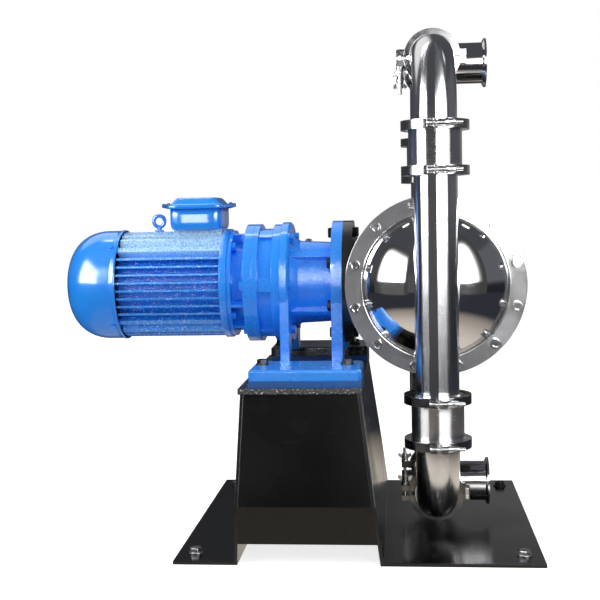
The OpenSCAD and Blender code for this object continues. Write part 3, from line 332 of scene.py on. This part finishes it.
def chamber_steel(name):
    """One chamber: a mirror dome, a tube buffed round and a flange with a turned, slightly wavy
    face. The three are told apart by distance from the pump's axis and from the tube's."""
    f = Finish(name)
    x, y, z = f.axis("X") - PUMP_X, abs(f.axis("Y")), f.axis("Z") - AXIS_Z
    away = (x * x + z * z) ** 0.5
    flange = away.span(*DOME_FOOT_R) * y.span(*FLANGE_FACE_Y, 1.0, 0.0)
    tube = abs(x).span(*TUBE_SIDE_X, 1.0, 0.0) * y.span(*TUBE_BACK_Y)
    slow = f.noise(18.0, 2.0, 0.5)
    broad = f.noise(34.0, 3.0, 0.55)
    hair = f.noise(1100.0, 2.0, 0.5, f.stretched(0.05, 0.05, 1.0))
    rings = (away * 5200.0 + f.noise(420.0, 3.0, 0.6) * 5.0).sine()
    smear = f.noise(15.0, 4.0, 0.6)
    shade = f.blend(smear.span(0.5, 0.85, 0.0, 0.5), STEEL, TARNISHED)
    shade = f.blend(flange * broad.span(0.3, 0.7, 0.2, 0.75), shade, TARNISHED)
    r = (smear.span(0.45, 0.8, 0.035, 0.075) + tube * 0.09
         + flange * broad.span(0.3, 0.7, 0.03, 0.06))
    normal = f.bump(slow, 0.00028, 0.6, f.rounded(0.0012))
    normal = f.bump(hair * tube, 0.00005, 0.7, normal)
    normal = f.bump(rings * flange * 0.06 + broad * flange * 1.2, 0.00016, 0.8, normal)
    return f.surface(Base_Color=shade, Metallic=1.0 - flange * 0.23, Roughness=r, Normal=normal,
                     Anisotropic=0.97, Anisotropic_Rotation=BUFFED_UPRIGHT)


def satin(name, colour, rough, grain, low=0.0):
    """Investment cast or turned steel: fine grain, darker hollows, brighter worn tops. low is how
    far the pieces close to the base plate are darkened, a painted shadow of the plate."""
    f = Finish(name)
    fine = f.noise(700.0, 4.0, 0.65)
    slow = f.noise(45.0, 4.0, 0.6)
    shade = f.blend(slow.span(0.35, 0.7, 0.0, 0.8), colour, scaled(colour, 0.6))
    shade = f.blend(fine.span(0.55, 0.75, 0.0, 0.5), shade, scaled(colour, 1.3))
    if low:
        # painted shadow: steel close to the base plate darkened as if shaded by it
        shade = f.blend(f.axis("Z").span(*LOW_CLAMP_Z, low, 0.0), shade, SHADED_STEEL)
    normal = f.bump(slow, grain * 3, 0.5, f.rounded(0.001))
    normal = f.bump(fine, grain, 0.8, normal)
    return f.surface(Base_Color=shade, Metallic=1.0, Normal=normal,
                     Roughness=slow.span(0.3, 0.8, rough, rough + 0.16))


def sheet_enamel(name, dull=0.0, shine=0.45, painted_floor_reflection=None, waves=0.0012):
    """Black enamel on rolled sheet: long shallow waves, dust, hairline scratches. A colour given
    for the strip under the skirts' bend is a painted reflection of the warm floor."""
    f = Finish(name)
    wave = f.noise(6.0, 2.0, 0.5)
    peel = f.noise(330.0, 2.0, 0.5)
    dust = f.cells(300.0).span(0.0, 0.1, 1.0, 0.0) * f.noise(12.0).span(0.5, 0.72)
    scratch = f.noise(60.0, 2.0, 0.4, f.stretched(0.25, 6.0, 0.6)).span(0.66, 0.7)
    shade = f.blend(wave.span(0.3, 0.7), (0.003, 0.003, 0.0035), (0.006, 0.0055, 0.0055))
    if painted_floor_reflection:
        # painted reflection of the warm floor on the strip under the bend
        shade = f.blend(f.axis("Z").span(*SKIRT_BEND_Z, 1.0, 0.0), shade, painted_floor_reflection)
    shade = f.blend(dust * 0.1, shade, GREY_DUST)
    r = wave.span(0.3, 0.8, 0.17 + dull, 0.26 + dull) + scratch * 0.03 + dust * 0.3
    normal = f.bump(wave, waves, 0.5, f.rounded(0.0015))
    normal = f.bump(peel, 0.00006, 0.5, normal)
    return f.surface(Base_Color=shade, Roughness=r, Normal=normal, Specular_IOR_Level=shine)


def chipped_edge(name):
    """Top plate of the base: black enamel with pale chips and a torn, lumpy edge."""
    f = Finish(name)
    rag = f.noise(300.0, 5.0, 0.7)
    chips = f.cells(190.0).span(0.1, 0.45, 1.0, 0.0) * rag.span(0.47, 0.55)
    shade = f.blend(chips, (0.012, 0.012, 0.013), (0.75, 0.74, 0.72))
    normal = f.bump(rag, 0.002, 1.0, f.rounded(0.002))
    return f.surface(Base_Color=shade, Roughness=rag.span(0.3, 0.7, 0.2, 0.5), Normal=normal)


def elastomer(name, colour, rough):
    """Moulded rubber, plastic or PTFE: matt, slightly mottled."""
    f = Finish(name)
    slow = f.noise(60.0, 3.0)
    fine = f.noise(900.0, 2.0)
    shade = f.blend(slow.span(0.3, 0.7), colour, scaled(colour, 0.88))
    return f.surface(Base_Color=shade, Roughness=slow.span(0.3, 0.7, rough, rough + 0.12),
                     Normal=f.bump(fine, 0.00004, 0.6))


PAINT_CAST = paint("cast_blue", BLUES, gloss=(0.2125, 0.3125), peel_depth=0.0001,
                   cast_depth=0.0011, edge=0.002)
PAINT_FLAT = paint("sheet_blue", BLUES, gloss=(0.17, 0.25), peel_depth=0.00012,
                   cast_depth=0.0002, coat=1.0)
PAINT_FINS = fin_paint("fin_blue", BLUES)
PAINT_FOOT = paint("output_housing_blue", BLUES, gloss=(0.22, 0.32), peel_depth=0.0001,
                   cast_depth=0.0011, edge=0.0025, dust=0.0, coat=0.6, far_foot_shade=PAINTED_FOOT_SHADE)
PAINT_NAVY = paint("spacer_navy", NAVY, gloss=(0.255, 0.375), peel_depth=0.0001,
                   cast_depth=0.0009, dust=0.72)
PAINT_BLACK = paint("box_black", BLACKS, gloss=(0.255, 0.375), peel_depth=0.0001,
                    cast_depth=0.0006)
SHEET = sheet_enamel("sheet_black")
SKIRT = sheet_enamel("skirt_black", dull=0.06, shine=0.1, painted_floor_reflection=(0.02, 0.0176, 0.0152),
                     waves=0.0005)
TOP_EDGE = chipped_edge("top_plate_chipped")
MIRROR = polished("buffed_steel")
CHAMBER = chamber_steel("chamber_steel")
SPOOL_STEEL = polished("valve_housing_steel", (0.7, 0.7, 0.71), rough=0.25, wave=0.0002,
                       lines=0.00005, brushed=0.97)
ELBOW_STEEL = polished("elbow_steel", rough=0.16, brushed=0.95)
BRIGHT = satin("bright_steel", (0.72, 0.72, 0.73), rough=0.18, grain=0.00005)
CAST_STEEL = satin("cast_steel", (0.44, 0.44, 0.45), rough=0.1, grain=0.00003, low=0.75)
SCREW_STEEL = satin("socket_screw_steel", (0.72, 0.72, 0.73), rough=0.12, grain=0.00002)
ZINC = satin("zinc_steel", (0.34, 0.34, 0.35), rough=0.3, grain=0.0001)
MACHINED = satin("machined_steel", (0.55, 0.55, 0.56), rough=0.25, grain=0.00006)
OXIDE = satin("black_oxide", (0.05, 0.05, 0.055), rough=0.35, grain=0.0001)
IRON = satin("core_iron", (0.22, 0.21, 0.2), rough=0.45, grain=0.0002)
PTFE = elastomer("white_ptfe", (0.82, 0.82, 0.80), rough=0.4)
FAN_PLASTIC = elastomer("fan_plastic", (0.02, 0.02, 0.022), rough=0.5)
BOARD = elastomer("terminal_board", (0.16, 0.03, 0.02), rough=0.35)

FINISH_OF = {
    "base_left": SHEET, "base_right": SHEET, "front_skirt": SKIRT, "rear_skirt": SKIRT,
    "top_plate": TOP_EDGE, "foot_spacers": PAINT_NAVY, "foot_bolts": OXIDE,
    "reducer_case": PAINT_FOOT, "pin_gear_case": PAINT_CAST, "ring_pins": MACHINED,
    "input_flange": PAINT_CAST, "case_bolts": PAINT_FLAT, "breather": BRIGHT,
    "cycloid_disc_a": MACHINED, "cycloid_disc_b": MACHINED, "crank": MACHINED,
    "slide_block": MACHINED, "motor_shell": PAINT_FINS, "motor_frame": PAINT_FINS,
    "stator_core": IRON, "rotor": MACHINED, "fan": FAN_PLASTIC, "fan_cover": PAINT_FLAT,
    "fan_screws": PAINT_FLAT, "eyebolt": PAINT_FLAT, "terminal_box": PAINT_FLAT,
    "terminal_lid": PAINT_FLAT, "lid_screws": BRIGHT, "terminal_block": BOARD,
    "motor_bolts": PAINT_FLAT, "shaft_bearings": MACHINED, "drive_box": PAINT_BLACK,
    "chamber_adapters": PAINT_BLACK, "drive_bolts": OXIDE, "front_chamber": CHAMBER,
    "rear_chamber": CHAMBER, "chamber_bolts": SCREW_STEEL, "diaphragm_rims": PTFE,
    "diaphragm_front": PTFE, "diaphragm_rear": PTFE, "yoke": MACHINED,
    "diaphragm_plates": BRIGHT, "gaskets": PTFE, "clamps": CAST_STEEL, "clamp_screws": BRIGHT,
    "outlet_tee": MIRROR, "inlet_tee": MIRROR,
}
FINISH_OF_KIND = {"ball": PTFE, "spool": SPOOL_STEEL, "elbow": ELBOW_STEEL}
for name, obj in node.items():
    kind = name.split("_")[0]
    obj.data.materials.clear()
    obj.data.materials.append(FINISH_OF[name] if name in FINISH_OF else FINISH_OF_KIND[kind])


# New pieces ------------------------------------------------------------

def add_piece(name, points, faces, finish, body, slot):
    """A smooth piece from an array of points and one of four-sided faces, with its doubles
    joined and its faces turned outwards."""
    obj = mesh_object(name, points.tolist(), faces.tolist(), finish)
    mesh = obj.data
    bm = bmesh.new()
    bm.from_mesh(mesh)
    bmesh.ops.remove_doubles(bm, verts=bm.verts, dist=1e-6)
    bmesh.ops.recalc_face_normals(bm, faces=bm.faces)
    bm.to_mesh(mesh)
    bm.free()
    mesh.polygons.foreach_set("use_smooth", np.full(len(mesh.polygons), True))
    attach(obj, body)
    return obj


def add_surface(name, parts, finish, body, slot):
    """Puts grids of points into one piece. Each part is a grid (rows, columns, 3) that may be
    closed along its rows or columns; neighbours in the grid share a face."""
    points, faces, base = [], [], 0
    for grid, close_u, close_v in parts:
        n, m = grid.shape[:2]
        i, j = np.meshgrid(np.arange(n if close_u else n - 1), np.arange(m if close_v else m - 1),
                           indexing="ij")
        a, b = i * m + j, i * m + (j + 1) % m
        c, d = ((i + 1) % n) * m + (j + 1) % m, ((i + 1) % n) * m + j
        faces.append(np.stack([a, b, c, d], -1).reshape(-1, 4) + base)
        points.append(grid.reshape(-1, 3))
        base += n * m
    return add_piece(name, np.concatenate(points), np.concatenate(faces), finish, body, slot)


def turned(profile, centre, axis_a, axis_b, axis_n, count):
    """A profile of (radius, height) pairs carried round an axis: point = centre + radius times
    (cos t a + sin t b) + height times n."""
    t = np.linspace(0, TAU, count, endpoint=False)[None, :, None]
    r, h = np.asarray(profile, float).T
    r, h = r[:, None, None], h[:, None, None]
    return centre + r * (np.cos(t) * axis_a + np.sin(t) * axis_b) + h * axis_n, False, True


def hexagon(profile, centre, turn):
    """A profile carried round Z, with the radius stretched to the sides of a regular hexagon:
    it is divided by the cosine of the angle from the middle of the nearest side, up to the blunt
    corners."""
    corner = 1.13  # times half the width across flats; a sharp corner has 1.155
    t = np.linspace(0, TAU, 48, endpoint=False)
    to_side = (t - turn + math.pi / 6) % (math.pi / 3) - math.pi / 6
    r, h = np.asarray(profile, float).T
    rr = np.minimum(r[:, None] / np.cos(to_side)[None, :], r.max() * corner)
    return (centre + rr[..., None] * (np.cos(t)[:, None] * X + np.sin(t)[:, None] * Y)[None]
            + h[:, None, None] * Z), False, True


def floor_bolt(x, y, z, turn):
    """A washer and a hexagon head with a domed top, as (radius, height) profiles."""
    c = np.array([x, y, z])
    washer = [(0, 0), (0.013, 0), (0.0134, 0.0004), (0.0134, 0.0021), (0.013, 0.0025), (0, 0.0025)]
    head = [(0, 0.0025), (0.0093, 0.0025), (0.0095, 0.0028), (0.0095, 0.0092), (0.0088, 0.01),
            (0.006, 0.0105), (0, 0.0106)]
    return [turned(washer, c, X, Y, Z, 40), hexagon(head, c, turn)]


def weld_bead(side, radius, y, half_w, half_h, ripples):
    """A low bead round the foot of a dome. Its section is an ellipse, and along the way its size
    follows a fast sine, the drops of the weld, and two slow ones."""
    u = np.linspace(0, TAU, 720, endpoint=False)[:, None]
    v = np.linspace(0, TAU, 16, endpoint=False)[None, :]
    size = 1 + 0.1 * np.sin(ripples * u) + 0.12 * np.sin(5 * u + 1) + 0.08 * np.sin(11 * u)
    r = radius + half_w * size * np.cos(v)
    x = PUMP_X + r * np.cos(u)
    z = AXIS_Z + r * np.sin(u)
    depth = side * (y + half_h * size * np.sin(v))
    return np.stack([x, depth, z], -1), True, True


def fan_cover_shell():
    """Domed fan cover. Its radius r gives the place along the axis, tip + depth times
    (1 - sqrt(1 - (r / R)^3)), then it runs straight to a rolled rim. Faces of the grid between
    the ring slots' radii, away from the eight bars, are left out as the air inlet."""
    tip, depth, radius, rim, rolled = -0.571, 0.078, 0.1062, -0.4583, 0.0012
    ring = np.array([0.0, 6, 12, 16, 20, 24, 28, 32, 36, 40, 44, 48]) / 1000
    slot_rows = [2, 4, 6, 8, 10]  # spaces between the radii of ring that are open
    grille_r = 0.048              # the last of them
    half_bars, half_bar = 4, 0.0018  # |sin 4t| is zero in the middle of each of eight bars
    rise = radius * np.sin(np.linspace(math.asin(grille_r / radius), math.pi / 2, 22))[1:]
    r = np.concatenate([ring, rise])
    x = tip + depth * (1 - np.sqrt(np.clip(1 - (r / radius) ** 3, 0, 1)))
    r = np.concatenate([r, np.full(5, radius), [radius + rolled, radius + rolled, radius]])
    x = np.concatenate([x, np.linspace(x[-1], rim - 0.006, 6)[1:],
                        [rim - 0.005, rim - 0.001, rim]])
    count = 144
    t = np.linspace(0, TAU, count, endpoint=False)
    grid = np.stack([np.broadcast_to(x[:, None], (len(x), count)), r[:, None] * np.cos(t),
                     AXIS_Z + r[:, None] * np.sin(t)], -1)
    i, j = np.meshgrid(np.arange(len(x) - 1), np.arange(count), indexing="ij")
    middle = (r[:-1] + r[1:])[:, None] / 2
    from_bar = np.abs(np.sin((t[None, :] + math.pi / count) * half_bars)) / half_bars * middle
    kept = ~(np.isin(i, slot_rows) & (from_bar > half_bar))
    a, b = i * count + j, i * count + (j + 1) % count
    faces = np.stack([a, b, b + count, a + count], -1)[kept]
    return grid.reshape(-1, 3), faces


BOX_CENTRE = np.array([-0.3102, 0.0])
BOX_HALF_X, BOX_HALF_Y = 0.0508, 0.06
EARS = (0.0195, 0.0155)              # how far the cover's ears reach at -X and at +X
EAR_HALF = 0.022                     # half their width
EAR_CURL, CURL_REACH = 0.0035, 0.02  # an ear that reaches so far curls up so much

# The terminal box in rows of (growth of the plan, height, share of the ears). The housing goes
# from the middle of its floor outside up to the rim and down the inside; the cover goes from the
# gasket face under its rim over the rounded lip and up the slope to the flat top.
HOUSING_ROWS = [
    (-0.05, 0.5765, 0), (-0.02, 0.5765, 0), (-0.009, 0.5766, 0), (-0.0055, 0.5773, 0),
    (-0.0028, 0.579, 0), (-0.001, 0.582, 0), (-0.0002, 0.588, 0), (0, 0.592, 0),
    (0, 0.605, 0), (0, 0.6185, 0), (-0.004, 0.6185, 0), (-0.004, 0.59, 0),
    (-0.006, 0.5855, 0), (-0.012, 0.5845, 0), (-0.05, 0.5845, 0)]
COVER_ROWS = [
    (-0.0505, 0.619, 0), (-0.003, 0.619, 0.5), (0.001, 0.6176, 0.9), (0.0042, 0.6176, 1),
    (0.0052, 0.6186, 1), (0.0056, 0.6208, 1), (0.0053, 0.6232, 1), (0.0044, 0.6248, 1),
    (0.003, 0.6256, 0.95), (0.0012, 0.6257, 0.7), (-0.0003, 0.6258, 0.0),
    (-0.0012, 0.6264, 0), (-0.0022, 0.6278, 0), (-0.0058, 0.6318, 0),
    (-0.0095, 0.6358, 0), (-0.0112, 0.6373, 0), (-0.0132, 0.6382, 0),
    (-0.016, 0.6386, 0), (-0.03, 0.6387, 0), (-0.05, 0.6387, 0)]


def rounded_plan(half_x, half_y):
    """A rounded rectangle as a superellipse: x = a sgn(cos t) |cos t|^(2/p), y likewise."""
    power = 7.0
    t = np.linspace(0, TAU, 96, endpoint=False)
    c, s = np.cos(t), np.sin(t)
    return (half_x * np.sign(c) * np.abs(c) ** (2 / power),
            half_y * np.sign(s) * np.abs(s) ** (2 / power))


def stacked(rows, ears=(0, 0)):
    """Rounded plans above each other. Each row is (growth, height, share of the ears); an ear
    adds reach * exp(-(y / 22 mm)^4) at one end and curls up with the square of that."""
    layers = []
    for grow, z, share in rows:
        px, py = rounded_plan(max(BOX_HALF_X + grow, 1e-5), max(BOX_HALF_Y + grow, 1e-5))
        towards_end = np.clip(np.abs(px) / BOX_HALF_X, 0, 1) ** 8
        bell = np.exp(-(py / EAR_HALF) ** 4) * towards_end * share
        reach = bell * np.where(px < 0, ears[0], ears[1])
        curl = EAR_CURL * (reach / CURL_REACH) ** 2
        layers.append(np.stack([BOX_CENTRE[0] + px + np.sign(px) * reach,
                                BOX_CENTRE[1] + py, z + curl], -1))
    return np.array(layers), False, True


def screw_head(x, y, z):
    """A low domed head with a washer on one ear of the cover."""
    profile = [(0, 0), (0.0046, 0), (0.0046, 0.0008), (0.0038, 0.001), (0.0036, 0.0024),
               (0.0024, 0.0034), (0.0008, 0.0037), (0, 0.0037)]
    return turned(profile, np.array([x, y, z]), X, Y, Z, 24)


def cable_entry():
    """Bush and ring of the cable entry on the hidden side, open in the middle."""
    profile = [(0.0085, 0.006), (0.0085, -0.012), (0.0105, -0.012), (0.0108, -0.0115),
               (0.0108, -0.004), (0.014, -0.0038), (0.0143, -0.0034), (0.0143, 0),
               (0.0143, 0.001), (0.0085, 0.001), (0.0085, 0.006)]
    place = np.array([BOX_CENTRE[0], BOX_HALF_Y, 0.601])
    return turned(profile, place, X, Z, -Y, 40)


cover = add_piece("fan_cover_shell", *fan_cover_shell(), PAINT_FLAT, "frame", "drive_blue")
wall = cover.modifiers.new("wall", "SOLIDIFY")
wall.thickness = 0.002
wall.offset = -1.0
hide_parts("fan_cover")

housing = add_surface("terminal_housing", [stacked(HOUSING_ROWS), cable_entry()],
                      PAINT_FLAT, "frame", "drive_blue")
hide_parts("terminal_box")
lid = add_surface("terminal_cover", [stacked(COVER_ROWS, EARS)],
                  PAINT_FLAT, "frame", "drive_blue")
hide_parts("terminal_lid")
screws = add_surface("cover_screws",
                     [screw_head(-0.3725, 0, 0.6262), screw_head(-0.2495, 0, 0.6258)],
                     BRIGHT, "frame", "steel")
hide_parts("lid_screws")

FOOT_PLATE = 0.006            # thickness
BOLT_X, BOLT_Y = 0.288, 0.245
LEFT_TURN, RIGHT_TURN = 0.4, 1.1  # radians, as the heads came to rest
base_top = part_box("base_left")[0].z + FOOT_PLATE
for row, by, finish in (("front", -BOLT_Y, ZINC), ("rear", BOLT_Y, OXIDE)):
    bolts = (floor_bolt(-BOLT_X, by, base_top, LEFT_TURN)
             + floor_bolt(BOLT_X, by, base_top, RIGHT_TURN))
    add_surface("floor_bolts_" + row, bolts, finish, "frame", "steel")
beads = [weld_bead(side, radius=0.1318, y=0.1722, half_w=0.0013, half_h=0.0011, ripples=170)
         for side in (-1, 1)]
add_surface("dome_welds", beads, SCREW_STEEL, "frame", "polished")


# Studio ----------------------------------------------------------------

WHITE = (1.0, 1.0, 1.0)
FLOOR_HALF, FLOOR_Z = 9.0, -0.0005
AMBIENT = 0.42                   # the world's strength for all but the camera
WALL_R, WALL_HEIGHT, WALL_SIDES = 2.9, 3.4, 64
CARD_FOOT = 0.15                 # height at which the cards stand
CARD_GLOW, CARD_DIM = 14.0, 0.07  # strength in their middle and at their faded edges
CARD_LAMP_WATTS = 21
STRIP_Z, STRIP_GLOW = 2.6, 6.0


def add_stage_mesh(name, points, faces, material, mirrors_only=True):
    """A piece of the studio. With mirrors_only it shows in reflections alone."""
    obj = mesh_object(name, points, faces, material)
    if mirrors_only:
        for ray in ("camera", "diffuse", "transmission", "shadow", "volume_scatter"):
            setattr(obj, "visible_" + ray, False)


def area_lamp(name, size, watts, place, direction):
    """A rectangular lamp that the camera doesn't see."""
    data = bpy.data.lights.new(name, "AREA")
    data.shape = "RECTANGLE"
    data.size, data.size_y = size
    data.energy = watts
    lamp = in_scene(bpy.data.objects.new(name, data))
    lamp.location = place
    lamp.rotation_mode = "QUATERNION"
    lamp.rotation_quaternion = Vector(direction).to_track_quat("-Z", "Y")
    lamp.visible_camera = False
    return lamp


def add_floor():
    """White paper. The camera sees it white but for the object's shadow; mirrors see it glow
    with painted light, a warm pool round the object and a dim floor farther out, as in a studio."""
    f = Finish("floor_paper")
    x, y = f.axis("X"), f.axis("Y")
    away = (x * x + y * y * 0.8) ** 0.5
    seen = f.light_path("Is Camera Ray")
    mirrored = f.light_path("Is Glossy Ray")
    # painted light: the warm pool and the dim floor that mirrors see
    near = f.blend(away.span(0.35, 0.75), (0.78, 0.71, 0.62), (0.38, 0.335, 0.28))
    near = f.blend(away.span(0.68, 0.92), near, (0.035, 0.038, 0.048))
    paper = f.add("ShaderNodeBsdfDiffuse", {}, {"Color": (0.8, 0.8, 0.8)})
    lit = f.add("ShaderNodeAddShader", {}, {0: paper, 1: f.emission(WHITE, seen * 0.8)})
    both = f.add("ShaderNodeMixShader", {}, {0: mirrored, 1: lit, 2: f.emission(near, 1.0)})
    corners = [(a * FLOOR_HALF, b * FLOOR_HALF, FLOOR_Z)
               for a, b in ((-1, -1), (1, -1), (1, 1), (-1, 1))]
    add_stage_mesh("floor", corners, [(0, 1, 2, 3)], f.end(both), mirrors_only=False)


def add_world():
    """White for the camera, plain soft light for the object."""
    world = bpy.data.worlds.new("studio")
    bpy.context.scene.world = world
    world.use_nodes = True
    tree = world.node_tree
    tree.nodes.clear()
    path = tree.nodes.new("ShaderNodeLightPath")
    strength = tree.nodes.new("ShaderNodeMapRange")
    tree.links.new(path.outputs["Is Camera Ray"], strength.inputs["Value"])
    strength.inputs["To Min"].default_value = AMBIENT
    strength.inputs["To Max"].default_value = 1.0
    back = tree.nodes.new("ShaderNodeBackground")
    back.inputs["Color"].default_value = (*WHITE, 1.0)
    tree.links.new(strength.outputs["Result"], back.inputs["Strength"])
    out = tree.nodes.new("ShaderNodeOutputWorld")
    tree.links.new(back.outputs[0], out.inputs["Surface"])


def studio_walls():
    """The dim walls and flat ceiling of the studio as mirrors see them, a drum with a disc on
    top that glows with painted light. They are painted paler on the right, behind the camera and
    low behind the pump, and white high up behind the motor."""
    f = Finish("studio_walls")
    x, y, z = f.axis("X"), f.axis("Y"), f.axis("Z")
    on_right = x.span(2.2, 2.6) * z.span(0.35, 0.6) * z.span(2.2, 2.6, 1.0, 0.0)
    behind_camera = y.span(-1.4, -2.3) * z.span(0.9, 1.4, 1.0, 0.0)
    behind_pump = y.span(1.2, 2.2) * x.span(-0.4, 0.5) * z.span(0.9, 1.3, 1.0, 0.0)
    over_motor = y.span(0.9, 1.3) * z.span(1.9, 2.3) * x.span(-0.4, 0.1, 1.0, 0.0)
    shade = f.blend(z.span(0.2, 0.9), (0.02, 0.022, 0.028), (0.075, 0.078, 0.088))
    shade = f.blend(on_right, shade, (0.13, 0.135, 0.15))
    shade = f.blend(behind_camera, shade, (0.1, 0.1, 0.105))
    shade = f.blend(behind_pump, shade, (0.3, 0.3, 0.3))
    shade = f.blend(over_motor, shade, WHITE)
    a = np.linspace(0, TAU, WALL_SIDES + 1)[:-1]
    ring = np.stack([WALL_R * np.cos(a), WALL_R * np.sin(a), np.zeros(WALL_SIDES)], 1)
    points = np.concatenate([ring, ring + Z * WALL_HEIGHT, [[0, 0, WALL_HEIGHT]]]).tolist()
    i = np.arange(WALL_SIDES)
    j = (i + 1) % WALL_SIDES
    centre = np.full(WALL_SIDES, 2 * WALL_SIDES)
    faces = np.stack([i, i + WALL_SIDES, j + WALL_SIDES, j], 1).tolist()
    faces += np.stack([i + WALL_SIDES, centre, j + WALL_SIDES], 1).tolist()
    add_stage_mesh("studio_walls", points, faces, f.end(f.emission(shade, 1.0)))


def soft_card(name, a, b, low, tops, fade, inner):
    """A soft box standing on the line from a to b, with a top that climbs from one end to the
    other. A card shows it to mirrors, white above low and fading with the cube of the distance
    from its top, its inner end a and its outer end b; a lamp of about its size lights the
    rest."""
    f = Finish(name)
    x, z = f.axis("X"), f.axis("Z")
    along_x = b[0] - a[0]
    under_top = (x - a[0]) * ((tops[1] - tops[0]) / along_x) + tops[0] - z
    along = (x - a[0]) * (1.0 / along_x)
    ends = along.span(0.0, inner) * along.span(0.6, 1.0, 1.0, 0.0)
    glow = (under_top.span(0.0, fade) * ends) ** 3
    strength = z.span(low - 0.02, low + 0.06, 0.06, CARD_GLOW) * glow + CARD_DIM
    corners = [(*a, CARD_FOOT), (*b, CARD_FOOT), (*b, tops[1]), (*a, tops[0])]
    add_stage_mesh(name, corners, [(0, 1, 2, 3)], f.end(f.emission(WHITE, strength)))
    high = max(tops)
    middle = Vector(((a[0] + b[0]) / 2, (a[1] + b[1]) / 2, (low + high) / 2))
    lamp = area_lamp(name + "_lamp", (math.dist(a, b), high - low), CARD_LAMP_WATTS, middle,
                     Vector((0, -0.1, 0.5)) - middle)
    lamp.visible_glossy = False


def overhead_strips():
    """Strip lights under the ceiling, seen by mirrors only: two short ones beside the pump and
    a long one over the motor, which puts glints on the tops of the fins."""
    strips = (-1.02, -0.74, 0.16, 0.22), (1.2, 1.55, 0.12, 0.2), (-1.1, -0.3, 0.6, 0.9)
    points = [(x, y, STRIP_Z) for x0, x1, y0, y1 in strips
              for x, y in ((x0, y0), (x1, y0), (x1, y1), (x0, y1))]
    faces = np.arange(len(points)).reshape(-1, 4).tolist()
    f = Finish("overhead_strips")
    add_stage_mesh("overhead_strips", points, faces, f.end(f.emission(WHITE, STRIP_GLOW)))


def glint_lamp(name, target, place, size, watts):
    """A slim strip light in front of the drive, seen only as a glint in the gloss of one
    piece."""
    lamp = area_lamp(name, size, watts, place, Y)
    lamp.visible_diffuse = False
    lit = bpy.data.collections.new(name + "_on")
    lit.objects.link(bpy.data.objects[target])
    lamp.light_linking.receiver_collection = lit


add_floor()
add_world()
studio_walls()
soft_card("soft_left", a=(-0.76, -1.36), b=(-2.05, -0.22), low=0.57, tops=(1.75, 2.5),
          fade=0.8, inner=0.12)
soft_card("soft_right", a=(0.275, -2.12), b=(1.75, -0.69), low=0.52, tops=(2.0, 3.3),
          fade=1.3, inner=0.01)
glint_lamp("housing_glint", "terminal_housing", (-0.68, -1.96, 0.64), size=(0.26, 0.44),
           watts=3.6)
glint_lamp("reducer_glint", "reducer_case", (-0.24, -1.98, 1.15), size=(0.1, 1.3), watts=30.0)
overhead_strips()
top_lamp = area_lamp("top_lamp", (2.4, 1.8), 23, (-0.2, -0.3, 2.7), (0, 0.1, -1))
top_lamp.visible_glossy = False
bpy.context.scene.view_settings.view_transform = "Standard"
